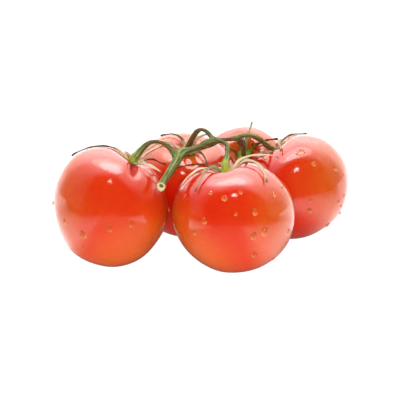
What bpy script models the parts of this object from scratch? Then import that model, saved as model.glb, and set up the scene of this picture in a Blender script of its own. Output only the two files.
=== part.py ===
"""A truss of five ripe vine tomatoes, lying as picked on a flat surface.

Each fruit is one solid with a stem cavity, soft shoulder ribs and a small flat spot that it rests on.
Each calyx is one star of sepals on a small disc, and the stem with its five pedicels is one branched solid.
Named lengths are millimetres and angles are degrees. +Z is up, the surface is Z = 0, +X is the right of
someone facing the cut end of the stem, and the origin is the middle of the truss's footprint.
"""

import math
from collections import namedtuple

import bmesh
import bpy
from mathutils import Matrix, Vector

MM = 0.001  # metres in a millimetre
SHARP_ANGLE = 40  # edges that turn by more than this are drawn sharp
FOOTPRINT_SHIFT = (0.16, 1.62)  # brings the middle of the truss's box to the origin

# place: where the fruit's middle stands. lean: how far its axis tips, as the slope to +X and to +Y.
# top, bottom: heights of the skin above and below the equator. cavity: the stem cavity's depth, as a dent in the
# rounded top. full: the heading of its fuller shoulder, how far that stands out, and how far the flank below the
# equator stands out on the other side.
# turn: where its ribs start round the axis.
# creases: the shoulder's grooves, each with heading, depth and angular width.
Fruit = namedtuple("Fruit", "name place radius top bottom cavity lean full turn creases sepals")

# heading: where the sepal points, round the fruit's axis from +X.
# sweep: how far it drifts round on its way.
# arch: the height of its middle over the skin.
# rise: the height of its tip, which stands up where it is large.
Sepal = namedtuple("Sepal", "heading length width arch rise sweep")

FRUITS = (
    Fruit("left", (-55.5, -48.8), 33.1, 30.3, 36.8, 5.0, (0.50, 0.06), (193, 2.0, 2.0), 20,
          ((-80, 2.8, 11), (60, 1.0, 16)), (
              Sepal(161, 36, 2.1, 0.1, 0.6, 18),
              Sepal(104, 13, 2.4, 0.2, 0.3, 10),
              Sepal(50, 11, 2.6, 0.0, 15.0, -34),
              Sepal(10, 14, 2.3, 2.0, 6.3, 5),
              Sepal(-37, 15.6, 2.7, 0.1, 2.6, 27),
          )),
    Fruit("front", (12.6, -57.4), 33.8, 29.6, 33.8, 8.0, (-0.17, 0.08), (205, 1.4, 0.9), 50,
          ((-100, 0.9, 24), (80, 2.6, 28)), (
              Sepal(-12, 32, 2.5, 1.0, 0.6, -34),
              Sepal(37, 32, 2.4, 0.0, 9.3, -60),
              Sepal(104, 20, 2.4, 1.0, 1.6, 8),
              Sepal(162, 25, 2.0, 0.0, 8.5, 14),
              Sepal(-158, 28, 2.5, 0.6, 0.4, -6),
              Sepal(-126, 29, 2.5, 1.0, 0.6, -2),
          )),
    Fruit("right", (54.4, 0.4), 34.2, 31.4, 32.4, 8.0, (-0.62, 0.22), (-12, 1.0, 0.5), 5,
          ((-82, 1.8, 34), (120, 1.4, 22)), (
              Sepal(33, 24, 2.4, 1.4, 0.0, -24),
              Sepal(54, 21, 4.2, 1.0, 0.8, -22),
              Sepal(166, 18, 2.2, 0.0, 9.1, 68),
              Sepal(-132, 13, 2.2, 1.0, 1.6, -8),
              Sepal(-62, 22, 2.2, 1.2, 0.8, -22),
          )),
    Fruit("middle", (-15.2, 6.6), 35.6, 31.4, 33.8, 8.0, (0.08, -0.42), (186, 0.9, 1.2), 35,
          ((-80, 1.2, 15), (110, 1.0, 18)), (
              Sepal(-40, 21, 2.4, 1.0, 0.8, -16),
              Sepal(-112, 20, 2.4, 1.2, 0.8, -8),
              Sepal(172, 29, 2.6, 1.2, 0.8, 14),
              Sepal(108, 22, 3.0, 0.9, 0.4, 40),
              Sepal(61, 14, 2.8, 1.1, 3.8, -22),
          )),
    Fruit("back", (25.6, 58.2), 31.6, 27.9, 27.7, 8.0, (-0.11, -1.1), (90, 2.2, 0.0), 10,
          ((-60, 1.0, 14), (100, 1.2, 18)), (
              Sepal(67, 20, 2.8, 2.8, 6.1, 5),
              Sepal(37, 23, 2.7, 0.0, 4.2, -14),
              Sepal(-6, 13, 2.2, 1.2, 1.6, -14),
              Sepal(-98, 17, 3.6, 1.0, 1.0, 6),
              Sepal(152, 15, 2.2, 1.4, 1.8, 16),
          )),
)

CAVITY_RADIUS = 9.5
RIB_COUNT = 6
RIB_HEIGHT = 0.014  # share of the radius, on the shoulder
OVAL = 0.010  # how far from round the fruit is, as a share of its radius
BLOSSOM_DENT = 1.6
BLOSSOM_RADIUS = 9.0
CREASE_REACH = 13.0  # how far from the axis a crease is deepest
CREASE_LENGTH = 8.0  # how fast it fades from there, to the axis and down the shoulder
RESTING_SINK = 0.3  # skin pressed flat where the fruit rests
CUT_MERGE = 0.0001  # points this near the resting plane count as on it
CAVITY_RINGS = (2.4, 4.8, 7.2, 9.8, 12.8, 16.2, 20.2)  # radii of the skin's rings near the stem cavity
FLANK_RINGS = 15  # rings from there to the blossom end
SKIN_SPOKES = 40
SKIN_STEP = 0.01  # the polar and round angle, in radians, between the points that give a normal

TOUCH_GAP = 0.3  # between solids that touch
FLOOR_GAP = 0.46  # under a calyx disc, from the cavity's true curve, which the skin's facets cut across
DISC_FLAT = 0.69  # share of a calyx disc's radius that is flat on top, where the pedicel sits
DISC_CORE = 0.42  # share of it that is flat below, in the middle
DISC_EDGE = 0.95  # share of it where its underside turns up to the rim
DISC_SIDES = 12
SEPAL_ROOT = 2.0  # how far from the axis a sepal's root is sunk
SEPAL_THICKNESS = 0.8
SEPAL_STATIONS = 12
SEPAL_NECK = 0.72  # share of its full width that a sepal has at its root
SEPAL_FULL_AT = 0.25  # share of its length where it is widest
SEPAL_TAPER_POWER = 1.6  # how late along its length it narrows
SEPAL_TIP = 0.3  # share of its width that a sepal keeps at its tip
SEPAL_RIDGE = 0.45  # share of its width that is full thickness
SEPAL_LIFT = 0.95  # from the skin to the middle of a sepal that lies on it
SEPAL_SWEEP_POWER = 1.3  # how late along its length a sepal drifts round
WALK_STEP = 0.5  # mm along the skin between the points that a sepal is led over

STEM_SIDES = 10
STEM_SPACING = 2.4  # mm between the rings of a strand
PEDICEL_COLLAR = 0.9  # the flared end of a pedicel
KNUCKLE_SWELL = 0.10  # how much wider a pedicel is at its knuckle, as a share of its radius
KNUCKLE_LENGTH = 1.6

# Each point is x, y, z and the stem's radius there. The main stem runs from its cut end to the right fruit.
MAIN_STEM = (
    (-26.5, -70.6, 51.5, 2.3), (-25.2, -66.5, 53.5, 1.9), (-23.3, -62.5, 55.6, 2.2), (-21.6, -58.9, 57.5, 2.3),
    (-20.0, -55.5, 59.6, 2.4), (-18.7, -51.5, 61.5, 2.7), (-17.5, -47.7, 63.5, 3.1), (-14.8, -43.7, 64.5, 2.6),
    (-11.5, -39.7, 64.7, 1.8), (-8.4, -36.3, 65.1, 1.7), (-5.6, -33.0, 65.5, 2.1), (-2.7, -30.0, 66.2, 2.5),
    (0.3, -27.3, 66.6, 2.6), (2.8, -25.0, 67.2, 1.9), (5.9, -21.5, 67.2, 1.2), (9.4, -17.5, 66.6, 1.0),
    (12.5, -14.5, 66.4, 1.1), (15.6, -12.0, 66.5, 1.3), (18.4, -10.1, 67.2, 1.2), (21.5, -8.4, 67.6, 1.3),
    (24.7, -6.7, 67.2, 1.3), (28.1, -5.0, 65.9, 1.4), (31.1, -2.9, 63.9, 1.5), (33.9, -0.7, 61.3, 1.6),
    (36.3, 1.5, 58.8, 1.7),
)
PEDICELS = {
    "left": (
        (-18.4, -49.9, 62.6, 2.0), (-21.0, -49.1, 65.8, 1.7), (-23.0, -48.5, 68.0, 1.4), (-25.3, -48.0, 69.6, 1.2),
        (-27.8, -47.7, 70.7, 1.1), (-30.6, -47.7, 71.1, 1.1), (-33.4, -47.7, 70.7, 1.2), (-35.6, -47.8, 69.3, 1.6),
        (-37.6, -47.8, 67.5, 1.7), (-39.7, -47.7, 65.2, 2.0), (-41.4, -47.7, 63.0, 2.2),
    ),
    "middle": (
        (2.2, -25.7, 67.8, 1.8), (0.2, -23.0, 70.1, 1.4), (-1.6, -21.6, 71.8, 1.2), (-3.6, -20.5, 72.9, 1.2),
        (-5.6, -19.5, 73.0, 1.2), (-7.6, -18.4, 71.7, 1.4), (-9.3, -16.7, 69.1, 1.6), (-10.9, -13.9, 65.8, 1.6),
        (-12.2, -10.9, 62.4, 1.8),
    ),
    "front": (
        (2.5, -25.5, 67.1, 1.9), (5.6, -28.5, 67.8, 1.3), (7.8, -32.1, 67.7, 1.2), (9.5, -36.7, 67.1, 1.3),
        (9.9, -41.3, 65.7, 1.3), (9.6, -45.7, 63.9, 1.4), (9.2, -49.1, 62.1, 1.7),
    ),
    "back": (
        (15.3, -12.1, 66.3, 1.3), (18.3, -5.2, 64.4, 2.0), (20.4, 6.0, 60.2, 2.6), (21.8, 17.0, 55.6, 2.3),
        (22.8, 27.3, 51.5, 1.8),
    ),
}

# disc: the radius of the calyx's own disc. height: its top over the floor of the stem cavity.
# lead: the last stretch of the pedicel, straight along the fruit's axis.
# neck, flare, seat: its radius where that begins, where its flare is nearly full and where it meets the calyx.
Foot = namedtuple("Foot", "disc height lead neck flare seat")

FEET = {
    "left": Foot(3.3, 2.4, 1.8, 2.35, 2.7, 2.86),
    "front": Foot(3.7, 3.4, 2.6, 2.1, 2.35, 2.4),
    "right": Foot(3.7, 3.2, 1.6, 1.5, 1.65, 1.8),
    "middle": Foot(4.2, 3.4, 2.0, 1.8, 2.0, 2.2),
    "back": Foot(4.8, 3.4, 2.6, 1.5, 1.55, 1.7),
}
PEDICEL_KNUCKLES = {"left": 0.50, "middle": 0.60, "front": 0.70, "back": 0.28, "right": 0.85}


def clear_scene():
    """Removes whatever the file held before."""
    for thing in list(bpy.data.objects):
        bpy.data.objects.remove(thing)


def make_material(name, colour, roughness):
    """A plain finish of one colour, given as linear red, green and blue."""
    finish = bpy.data.materials.new(name)
    finish.use_nodes = True
    shader = finish.node_tree.nodes["Principled BSDF"]
    shader.inputs["Base Color"].default_value = (*colour, 1.0)
    shader.inputs["Roughness"].default_value = roughness
    shader.inputs["Metallic"].default_value = 0.0
    finish.diffuse_color = (*colour, 1.0)
    return finish


def add_object(name, shape, finish, parent, frame):
    """Links a bmesh, given in millimetres, as one named object in its frame under the truss."""
    shape.normal_update()
    mesh = bpy.data.meshes.new(name)
    shape.transform(Matrix.Scale(MM, 4))
    shape.to_mesh(mesh)
    shape.free()
    mesh.shade_smooth()
    mesh.set_sharp_from_angle(angle=math.radians(SHARP_ANGLE))
    mesh.materials.append(finish)
    thing = bpy.data.objects.new(name, mesh)
    bpy.context.scene.collection.objects.link(thing)
    thing.parent = parent
    turn = frame.to_3x3().to_4x4()
    thing.matrix_local = Matrix.Translation(frame.translation * MM) @ turn
    return thing


def bump(offset, width):
    """A smooth hump of height 1 at offset 0, which has faded at twice the width."""
    return math.exp(-((offset / width) ** 2))


def turned_from(angle, heading):
    """The angle from a heading, in degrees from -180 to 180, where angle is in radians."""
    return (math.degrees(angle) - heading + 180) % 360 - 180


def skin_point(fruit, polar, around):
    """A point of the skin in the fruit's own frame: polar 0 is the stem end, and pi the blossom end."""
    reach = fruit.radius * math.sin(polar)
    shoulder = math.sin(polar) ** 2 * (1 + math.cos(polar)) / 2
    ribs = RIB_HEIGHT * shoulder * math.cos(RIB_COUNT * (around - math.radians(fruit.turn)))
    oval = OVAL * math.cos(2 * around + math.radians(fruit.turn))
    full_heading, full_shoulder, full_flank = fruit.full
    towards_full = math.cos(around - math.radians(full_heading))
    swell = math.sin(2 * polar) ** 2 * math.sin(polar) * towards_full
    if polar < math.pi / 2:
        height = fruit.top * math.cos(polar) - fruit.cavity * bump(reach, CAVITY_RADIUS)
        swell *= full_shoulder
        for heading, depth, width in fruit.creases:
            across = bump(turned_from(around, heading), width)
            swell -= depth * across * bump(reach - CREASE_REACH, CREASE_LENGTH)
    else:
        height = fruit.bottom * math.cos(polar) + BLOSSOM_DENT * bump(reach, BLOSSOM_RADIUS)
        swell *= -full_flank
    wide = reach * (1 + ribs + oval) + swell * math.sin(polar)
    height += swell * math.cos(polar)
    return Vector((wide * math.cos(around), wide * math.sin(around), height))


def skin_normal(fruit, polar, around):
    """The direction straight out of the skin."""
    polar = max(polar, 2 * SKIN_STEP)
    down = skin_point(fruit, polar + SKIN_STEP, around) - skin_point(fruit, polar - SKIN_STEP, around)
    along = skin_point(fruit, polar, around + SKIN_STEP) - skin_point(fruit, polar, around - SKIN_STEP)
    return down.cross(along).normalized()


def axis_turn(fruit):
    """The rotation that tips an upright fruit to its lean."""
    axis = Vector((fruit.lean[0], fruit.lean[1], 1)).normalized()
    return Vector((0, 0, 1)).rotation_difference(axis).to_matrix().to_4x4()


def skin_rings(fruit):
    """The polar angles of the rings, closer together in the stem cavity."""
    cavity = [math.asin(reach / fruit.radius) for reach in CAVITY_RINGS]
    step = (math.pi - cavity[-1]) / (FLANK_RINGS + 1)
    return cavity + [cavity[-1] + step * (ring + 1) for ring in range(FLANK_RINGS)]


def skin_mesh(fruit):
    """The fruit's closed skin, in its own frame."""
    shape = bmesh.new()
    stem_end = shape.verts.new(skin_point(fruit, 0, 0))
    blossom_end = shape.verts.new(skin_point(fruit, math.pi, 0))
    spokes = [2 * math.pi * spoke / SKIN_SPOKES for spoke in range(SKIN_SPOKES)]
    rings = [
        [shape.verts.new(skin_point(fruit, polar, around)) for around in spokes]
        for polar in skin_rings(fruit)
    ]
    for spoke in range(SKIN_SPOKES):
        after = (spoke + 1) % SKIN_SPOKES
        shape.faces.new((stem_end, rings[0][spoke], rings[0][after]))
        shape.faces.new((blossom_end, rings[-1][after], rings[-1][spoke]))
        for upper, lower in zip(rings, rings[1:]):
            shape.faces.new((upper[spoke], lower[spoke], lower[after], upper[after]))
    return shape


def fruit_matrix(fruit):
    """The fruit's frame in the truss: tipped by its lean, and sunk until its resting spot has its size."""
    turn = axis_turn(fruit)
    shape = skin_mesh(fruit)
    lowest = min((turn @ point.co).z for point in shape.verts)
    shape.free()
    return Matrix.Translation((*fruit.place, -lowest - RESTING_SINK)) @ turn


def make_fruit(fruit, finish, truss):
    """One tomato, cut flat where it rests on the surface."""
    frame = fruit_matrix(fruit)
    shape = skin_mesh(fruit)
    into_fruit = frame.inverted()
    below = into_fruit.to_3x3() @ Vector((0, 0, -1))
    cut = bmesh.ops.bisect_plane(
        shape, geom=shape.verts[:] + shape.edges[:] + shape.faces[:], dist=CUT_MERGE,
        plane_co=into_fruit @ Vector((0, 0, 0)), plane_no=below, clear_outer=True,
    )
    rim = [part for part in cut["geom_cut"] if isinstance(part, bmesh.types.BMEdge)]
    bmesh.ops.edgeloop_fill(shape, edges=rim)
    bmesh.ops.recalc_face_normals(shape, faces=shape.faces[:])
    return add_object(f"tomato_{fruit.name}", shape, finish, truss, frame)


def cavity_floor(fruit, reach, around):
    """A point of the skin at this distance from the axis, in the stem cavity."""
    return skin_point(fruit, math.asin(reach / fruit.radius), around)


def disc_top(fruit):
    """The height of the calyx disc's flat top along the fruit's axis."""
    return skin_point(fruit, 0, 0).z + FEET[fruit.name].height


def disc_mesh(fruit):
    """The calyx's disc: its underside follows the stem cavity's floor, and its top is flat."""
    shape = bmesh.new()
    top, widest = disc_top(fruit), FEET[fruit.name].disc

    def ring(reach, height_of):
        return [
            shape.verts.new((reach * math.cos(angle), reach * math.sin(angle), height_of(reach, angle)))
            for angle in angles
        ]

    def floor(reach, angle):
        return cavity_floor(fruit, reach, angle).z + FLOOR_GAP

    def rim(reach, angle):
        return (floor(reach, angle) + top) / 2

    angles = [2 * math.pi * side / DISC_SIDES for side in range(DISC_SIDES)]
    layers = [
        ring(widest * DISC_CORE, floor),
        ring(widest * DISC_EDGE, floor),
        ring(widest, rim),
        ring(widest * DISC_FLAT, lambda reach, angle: top),
    ]
    for below, above in zip(layers, layers[1:]):
        for side in range(DISC_SIDES):
            after = (side + 1) % DISC_SIDES
            shape.faces.new((below[side], below[after], above[after], above[side]))
    shape.faces.new(reversed(layers[0]))
    shape.faces.new(layers[-1])
    return shape


def skin_walk(fruit, sepal):
    """The polar and round angles at even steps along the skin that a sepal lies over, out from the disc."""
    polar, walked = math.asin(SEPAL_ROOT / fruit.radius), 0.0
    around = math.radians(sepal.heading)
    last = skin_point(fruit, polar, around)
    path = [(polar, around)]
    while walked < sepal.length:
        polar += WALK_STEP / fruit.radius / 2
        share = min(walked / sepal.length, 1)
        around = math.radians(sepal.heading + sepal.sweep * share**SEPAL_SWEEP_POWER)
        here = skin_point(fruit, polar, around)
        walked += (here - last).length
        last = here
        path.append((polar, around))
    return path


def sepal_line(fruit, sepal):
    """The middle line of a sepal with its outward direction at each station."""
    path = skin_walk(fruit, sepal)
    line = []
    for station in range(SEPAL_STATIONS):
        share = station / (SEPAL_STATIONS - 1)
        polar, around = path[round(share * (len(path) - 1))]
        outward = skin_normal(fruit, polar, around)
        lift = SEPAL_LIFT + sepal.arch * math.sin(math.pi * share) ** 2 + sepal.rise * share**2
        line.append((skin_point(fruit, polar, around) + outward * lift, outward))
    return line


def sepal_width(sepal, share):
    """The width along a sepal: full a little way out from the disc, then narrowing to the tip."""
    opened = math.sin(math.pi / 2 * min(share / SEPAL_FULL_AT, 2))
    swell = SEPAL_NECK + (1 - SEPAL_NECK) * opened
    taper = SEPAL_TIP + (1 - SEPAL_TIP) * (1 - share**SEPAL_TAPER_POWER)
    return sepal.width * swell * taper


def sepal_mesh(fruit, sepal):
    """One sepal: a slim blade, lens-shaped across, over its middle line."""
    shape = bmesh.new()
    line = sepal_line(fruit, sepal)
    rings = []
    for station, (middle, outward) in enumerate(line):
        before = line[max(station - 1, 0)][0]
        after = line[min(station + 1, len(line) - 1)][0]
        along = (after - before).normalized()
        side = along.cross(outward).normalized()
        upward = side.cross(along)
        half = sepal_width(sepal, station / (SEPAL_STATIONS - 1)) / 2
        ridge = half * SEPAL_RIDGE
        thick = SEPAL_THICKNESS / 2
        corners = (
            (-half, 0.0), (-ridge, -thick), (ridge, -thick),
            (half, 0.0), (ridge, thick), (-ridge, thick),
        )
        rings.append([shape.verts.new(middle + side * across + upward * up) for across, up in corners])
    for near, far in zip(rings, rings[1:]):
        for corner in range(len(near)):
            after = (corner + 1) % len(near)
            shape.faces.new((near[corner], near[after], far[after], far[corner]))
    shape.faces.new(reversed(rings[0]))
    shape.faces.new(rings[-1])
    bmesh.ops.recalc_face_normals(shape, faces=shape.faces[:])
    return shape


def join_solids(name, shapes, finish, truss, frame):
    """Makes one body of overlapping closed shapes, with one Boolean union on a collection of them."""
    pieces = [
        add_object(f"{name}_{number}", shape, finish, truss, frame)
        for number, shape in enumerate(shapes)
    ]
    body, others = pieces[0], pieces[1:]
    helpers = bpy.data.collections.new(f"{name}_repeats")
    bpy.context.scene.collection.children.link(helpers)
    for piece in others:
        bpy.context.scene.collection.objects.unlink(piece)
        helpers.objects.link(piece)
    union = body.modifiers.new("join", "BOOLEAN")
    union.operation = "UNION"
    union.operand_type = "COLLECTION"
    union.collection = helpers
    bpy.context.view_layer.update()
    joined = body.evaluated_get(bpy.context.evaluated_depsgraph_get())
    mesh = bpy.data.meshes.new_from_object(joined)
    body.modifiers.clear()
    body.data = mesh
    mesh.shade_smooth()
    mesh.set_sharp_from_angle(angle=math.radians(SHARP_ANGLE))
    for piece in others:
        bpy.data.objects.remove(piece)
    bpy.data.collections.remove(helpers)
    body.name = name
    mesh.name = name
    return body


def make_calyx(fruit, finish, truss):
    """The disc and its sepals as one green star over the fruit."""
    shapes = [disc_mesh(fruit)] + [sepal_mesh(fruit, sepal) for sepal in fruit.sepals]
    return join_solids(f"calyx_{fruit.name}", shapes, finish, truss, fruit_matrix(fruit))


def smooth_route(points):
    """Even points, each with its radius, on a centripetal Catmull-Rom spline through the given ones."""
    knots = [Vector(point) for point in points]
    knots = [knots[0] * 2 - knots[1]] + knots + [knots[-1] * 2 - knots[-2]]
    fine = []
    for p0, p1, p2, p3 in zip(knots, knots[1:], knots[2:], knots[3:]):
        t1 = (p1.xyz - p0.xyz).length ** 0.5
        t2 = t1 + (p2.xyz - p1.xyz).length ** 0.5
        t3 = t2 + (p3.xyz - p2.xyz).length ** 0.5
        steps = max(1, round((p2.xyz - p1.xyz).length / STEM_SPACING))
        for step in range(steps):
            t = t1 + (t2 - t1) * step / steps
            a1 = p0 * ((t1 - t) / t1) + p1 * (t / t1)
            a2 = p1 * ((t2 - t) / (t2 - t1)) + p2 * ((t - t1) / (t2 - t1))
            a3 = p2 * ((t3 - t) / (t3 - t2)) + p3 * ((t - t2) / (t3 - t2))
            b1 = a1 * ((t2 - t) / t2) + a2 * (t / t2)
            b2 = a2 * ((t3 - t) / (t3 - t1)) + a3 * ((t - t1) / (t3 - t1))
            fine.append(b1 * ((t2 - t) / (t2 - t1)) + b2 * ((t - t1) / (t2 - t1)))
    return fine + [knots[-2]]


def swell_knuckle(route, place):
    """Widens a pedicel over its knuckle, at this share of its length."""
    lengths = [0.0]
    for near, far in zip(route, route[1:]):
        lengths.append(lengths[-1] + (far.xyz - near.xyz).length)
    middle = place * lengths[-1]
    for point, walked in zip(route, lengths):
        point.w *= 1 + KNUCKLE_SWELL * bump(walked - middle, KNUCKLE_LENGTH)
    return route


def strand_mesh(route):
    """A round stem along a route of x, y, z and radius, with flat ends."""
    shape = bmesh.new()
    rings = []
    side = Vector((0, 0, 1))
    for station, point in enumerate(route):
        before = route[max(station - 1, 0)].xyz
        after = route[min(station + 1, len(route) - 1)].xyz
        along = (after - before).normalized()
        side = (side - along * side.dot(along)).normalized()
        other = along.cross(side)
        rings.append([
            shape.verts.new(point.xyz + (side * math.cos(turn) + other * math.sin(turn)) * point.w)
            for turn in (2 * math.pi * corner / STEM_SIDES for corner in range(STEM_SIDES))
        ])
    for near, far in zip(rings, rings[1:]):
        for corner in range(STEM_SIDES):
            after = (corner + 1) % STEM_SIDES
            shape.faces.new((near[corner], near[after], far[after], far[corner]))
    shape.faces.new(reversed(rings[0]))
    shape.faces.new(rings[-1])
    bmesh.ops.recalc_face_normals(shape, faces=shape.faces[:])
    return shape


def pedicel_end(fruit):
    """The last points of a pedicel: straight down the fruit's axis, and seated on the calyx."""
    frame = fruit_matrix(fruit)
    seat, foot = disc_top(fruit) + TOUCH_GAP, FEET[fruit.name]
    steps = ((foot.lead, foot.neck), (PEDICEL_COLLAR, foot.flare), (0.0, foot.seat))
    return tuple((*(frame @ Vector((0, 0, seat + height))), radius) for height, radius in steps)


def make_stem(finish, truss):
    """The main stem, which runs on as the right fruit's pedicel, with the other four fused to it."""
    by_name = {fruit.name: fruit for fruit in FRUITS}
    main = smooth_route(MAIN_STEM + pedicel_end(by_name["right"]))
    shapes = [strand_mesh(swell_knuckle(main, PEDICEL_KNUCKLES["right"]))]
    for name, points in PEDICELS.items():
        route = smooth_route(points + pedicel_end(by_name[name]))
        shapes.append(strand_mesh(swell_knuckle(route, PEDICEL_KNUCKLES[name])))
    return join_solids("stem", shapes, finish, truss, Matrix.Identity(4))


def make_truss():
    """Every piece, under one empty that brings the middle of the footprint to the origin."""
    clear_scene()
    skin = make_material("tomato_skin", (0.72, 0.035, 0.012), 0.18)
    sepal_green = make_material("calyx_green", (0.18, 0.26, 0.06), 0.6)
    stem_green = make_material("stem_green", (0.15, 0.24, 0.07), 0.6)
    truss = bpy.data.objects.new("truss", None)
    truss.location = (FOOTPRINT_SHIFT[0] * MM, FOOTPRINT_SHIFT[1] * MM, 0)
    bpy.context.scene.collection.objects.link(truss)
    for fruit in FRUITS:
        make_fruit(fruit, skin, truss)
        make_calyx(fruit, sepal_green, truss)
    make_stem(stem_green, truss)


make_truss()
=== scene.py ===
"""The looks of a truss of five ripe vine tomatoes: fine skins, sepals, a haired stem and water drops.

Lengths are millimetres, but metres in the finishes and on the stage, and angles are degrees. In the model's own
frame +Z is up, the surface is Z = 0 and the camera looks along +Y.
"""

import math
from collections import namedtuple

import bpy
import numpy as np
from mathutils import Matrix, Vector


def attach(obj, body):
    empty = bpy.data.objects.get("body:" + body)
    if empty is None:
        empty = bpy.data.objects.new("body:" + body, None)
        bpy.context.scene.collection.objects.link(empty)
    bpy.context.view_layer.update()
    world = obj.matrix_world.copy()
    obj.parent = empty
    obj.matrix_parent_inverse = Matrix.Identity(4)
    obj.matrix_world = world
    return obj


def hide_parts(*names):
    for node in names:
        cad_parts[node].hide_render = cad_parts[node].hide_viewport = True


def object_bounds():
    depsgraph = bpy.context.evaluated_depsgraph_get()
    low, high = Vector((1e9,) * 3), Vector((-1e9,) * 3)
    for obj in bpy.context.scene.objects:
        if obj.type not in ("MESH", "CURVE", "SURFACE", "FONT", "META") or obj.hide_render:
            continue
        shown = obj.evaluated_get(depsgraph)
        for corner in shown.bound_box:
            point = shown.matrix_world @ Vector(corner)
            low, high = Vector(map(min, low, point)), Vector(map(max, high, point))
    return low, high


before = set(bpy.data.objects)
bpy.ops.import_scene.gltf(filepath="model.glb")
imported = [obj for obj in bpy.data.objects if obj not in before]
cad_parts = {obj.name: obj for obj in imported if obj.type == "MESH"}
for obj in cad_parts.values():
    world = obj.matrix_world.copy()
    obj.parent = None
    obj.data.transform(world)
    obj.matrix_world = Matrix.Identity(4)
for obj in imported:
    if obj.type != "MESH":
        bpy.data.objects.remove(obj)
bpy.context.view_layer.update()
CAD_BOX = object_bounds()

MM = 0.001
SEED = 7

# The camera, as the photograph's. Image points are its pixels.
CAMERA_PLACE = (-5.67, -452.56, 148.7)
CAMERA_DOWN = 15.3
CAMERA_FOCAL = 742.3
IMAGE_SIDE = 400
SENSOR = 36.0

# Moves the truss so that the middle of its footprint is the origin.
FOOTPRINT_SHIFT = (0.16, 1.62, 0.0)

Fruit = namedtuple("Fruit", "name place radius top bottom cavity lean full turn creases blush sepals")
Sepal = namedtuple("Sepal", "heading length width arch rise sweep fold twist dry dark rim", defaults=(1,))

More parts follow.
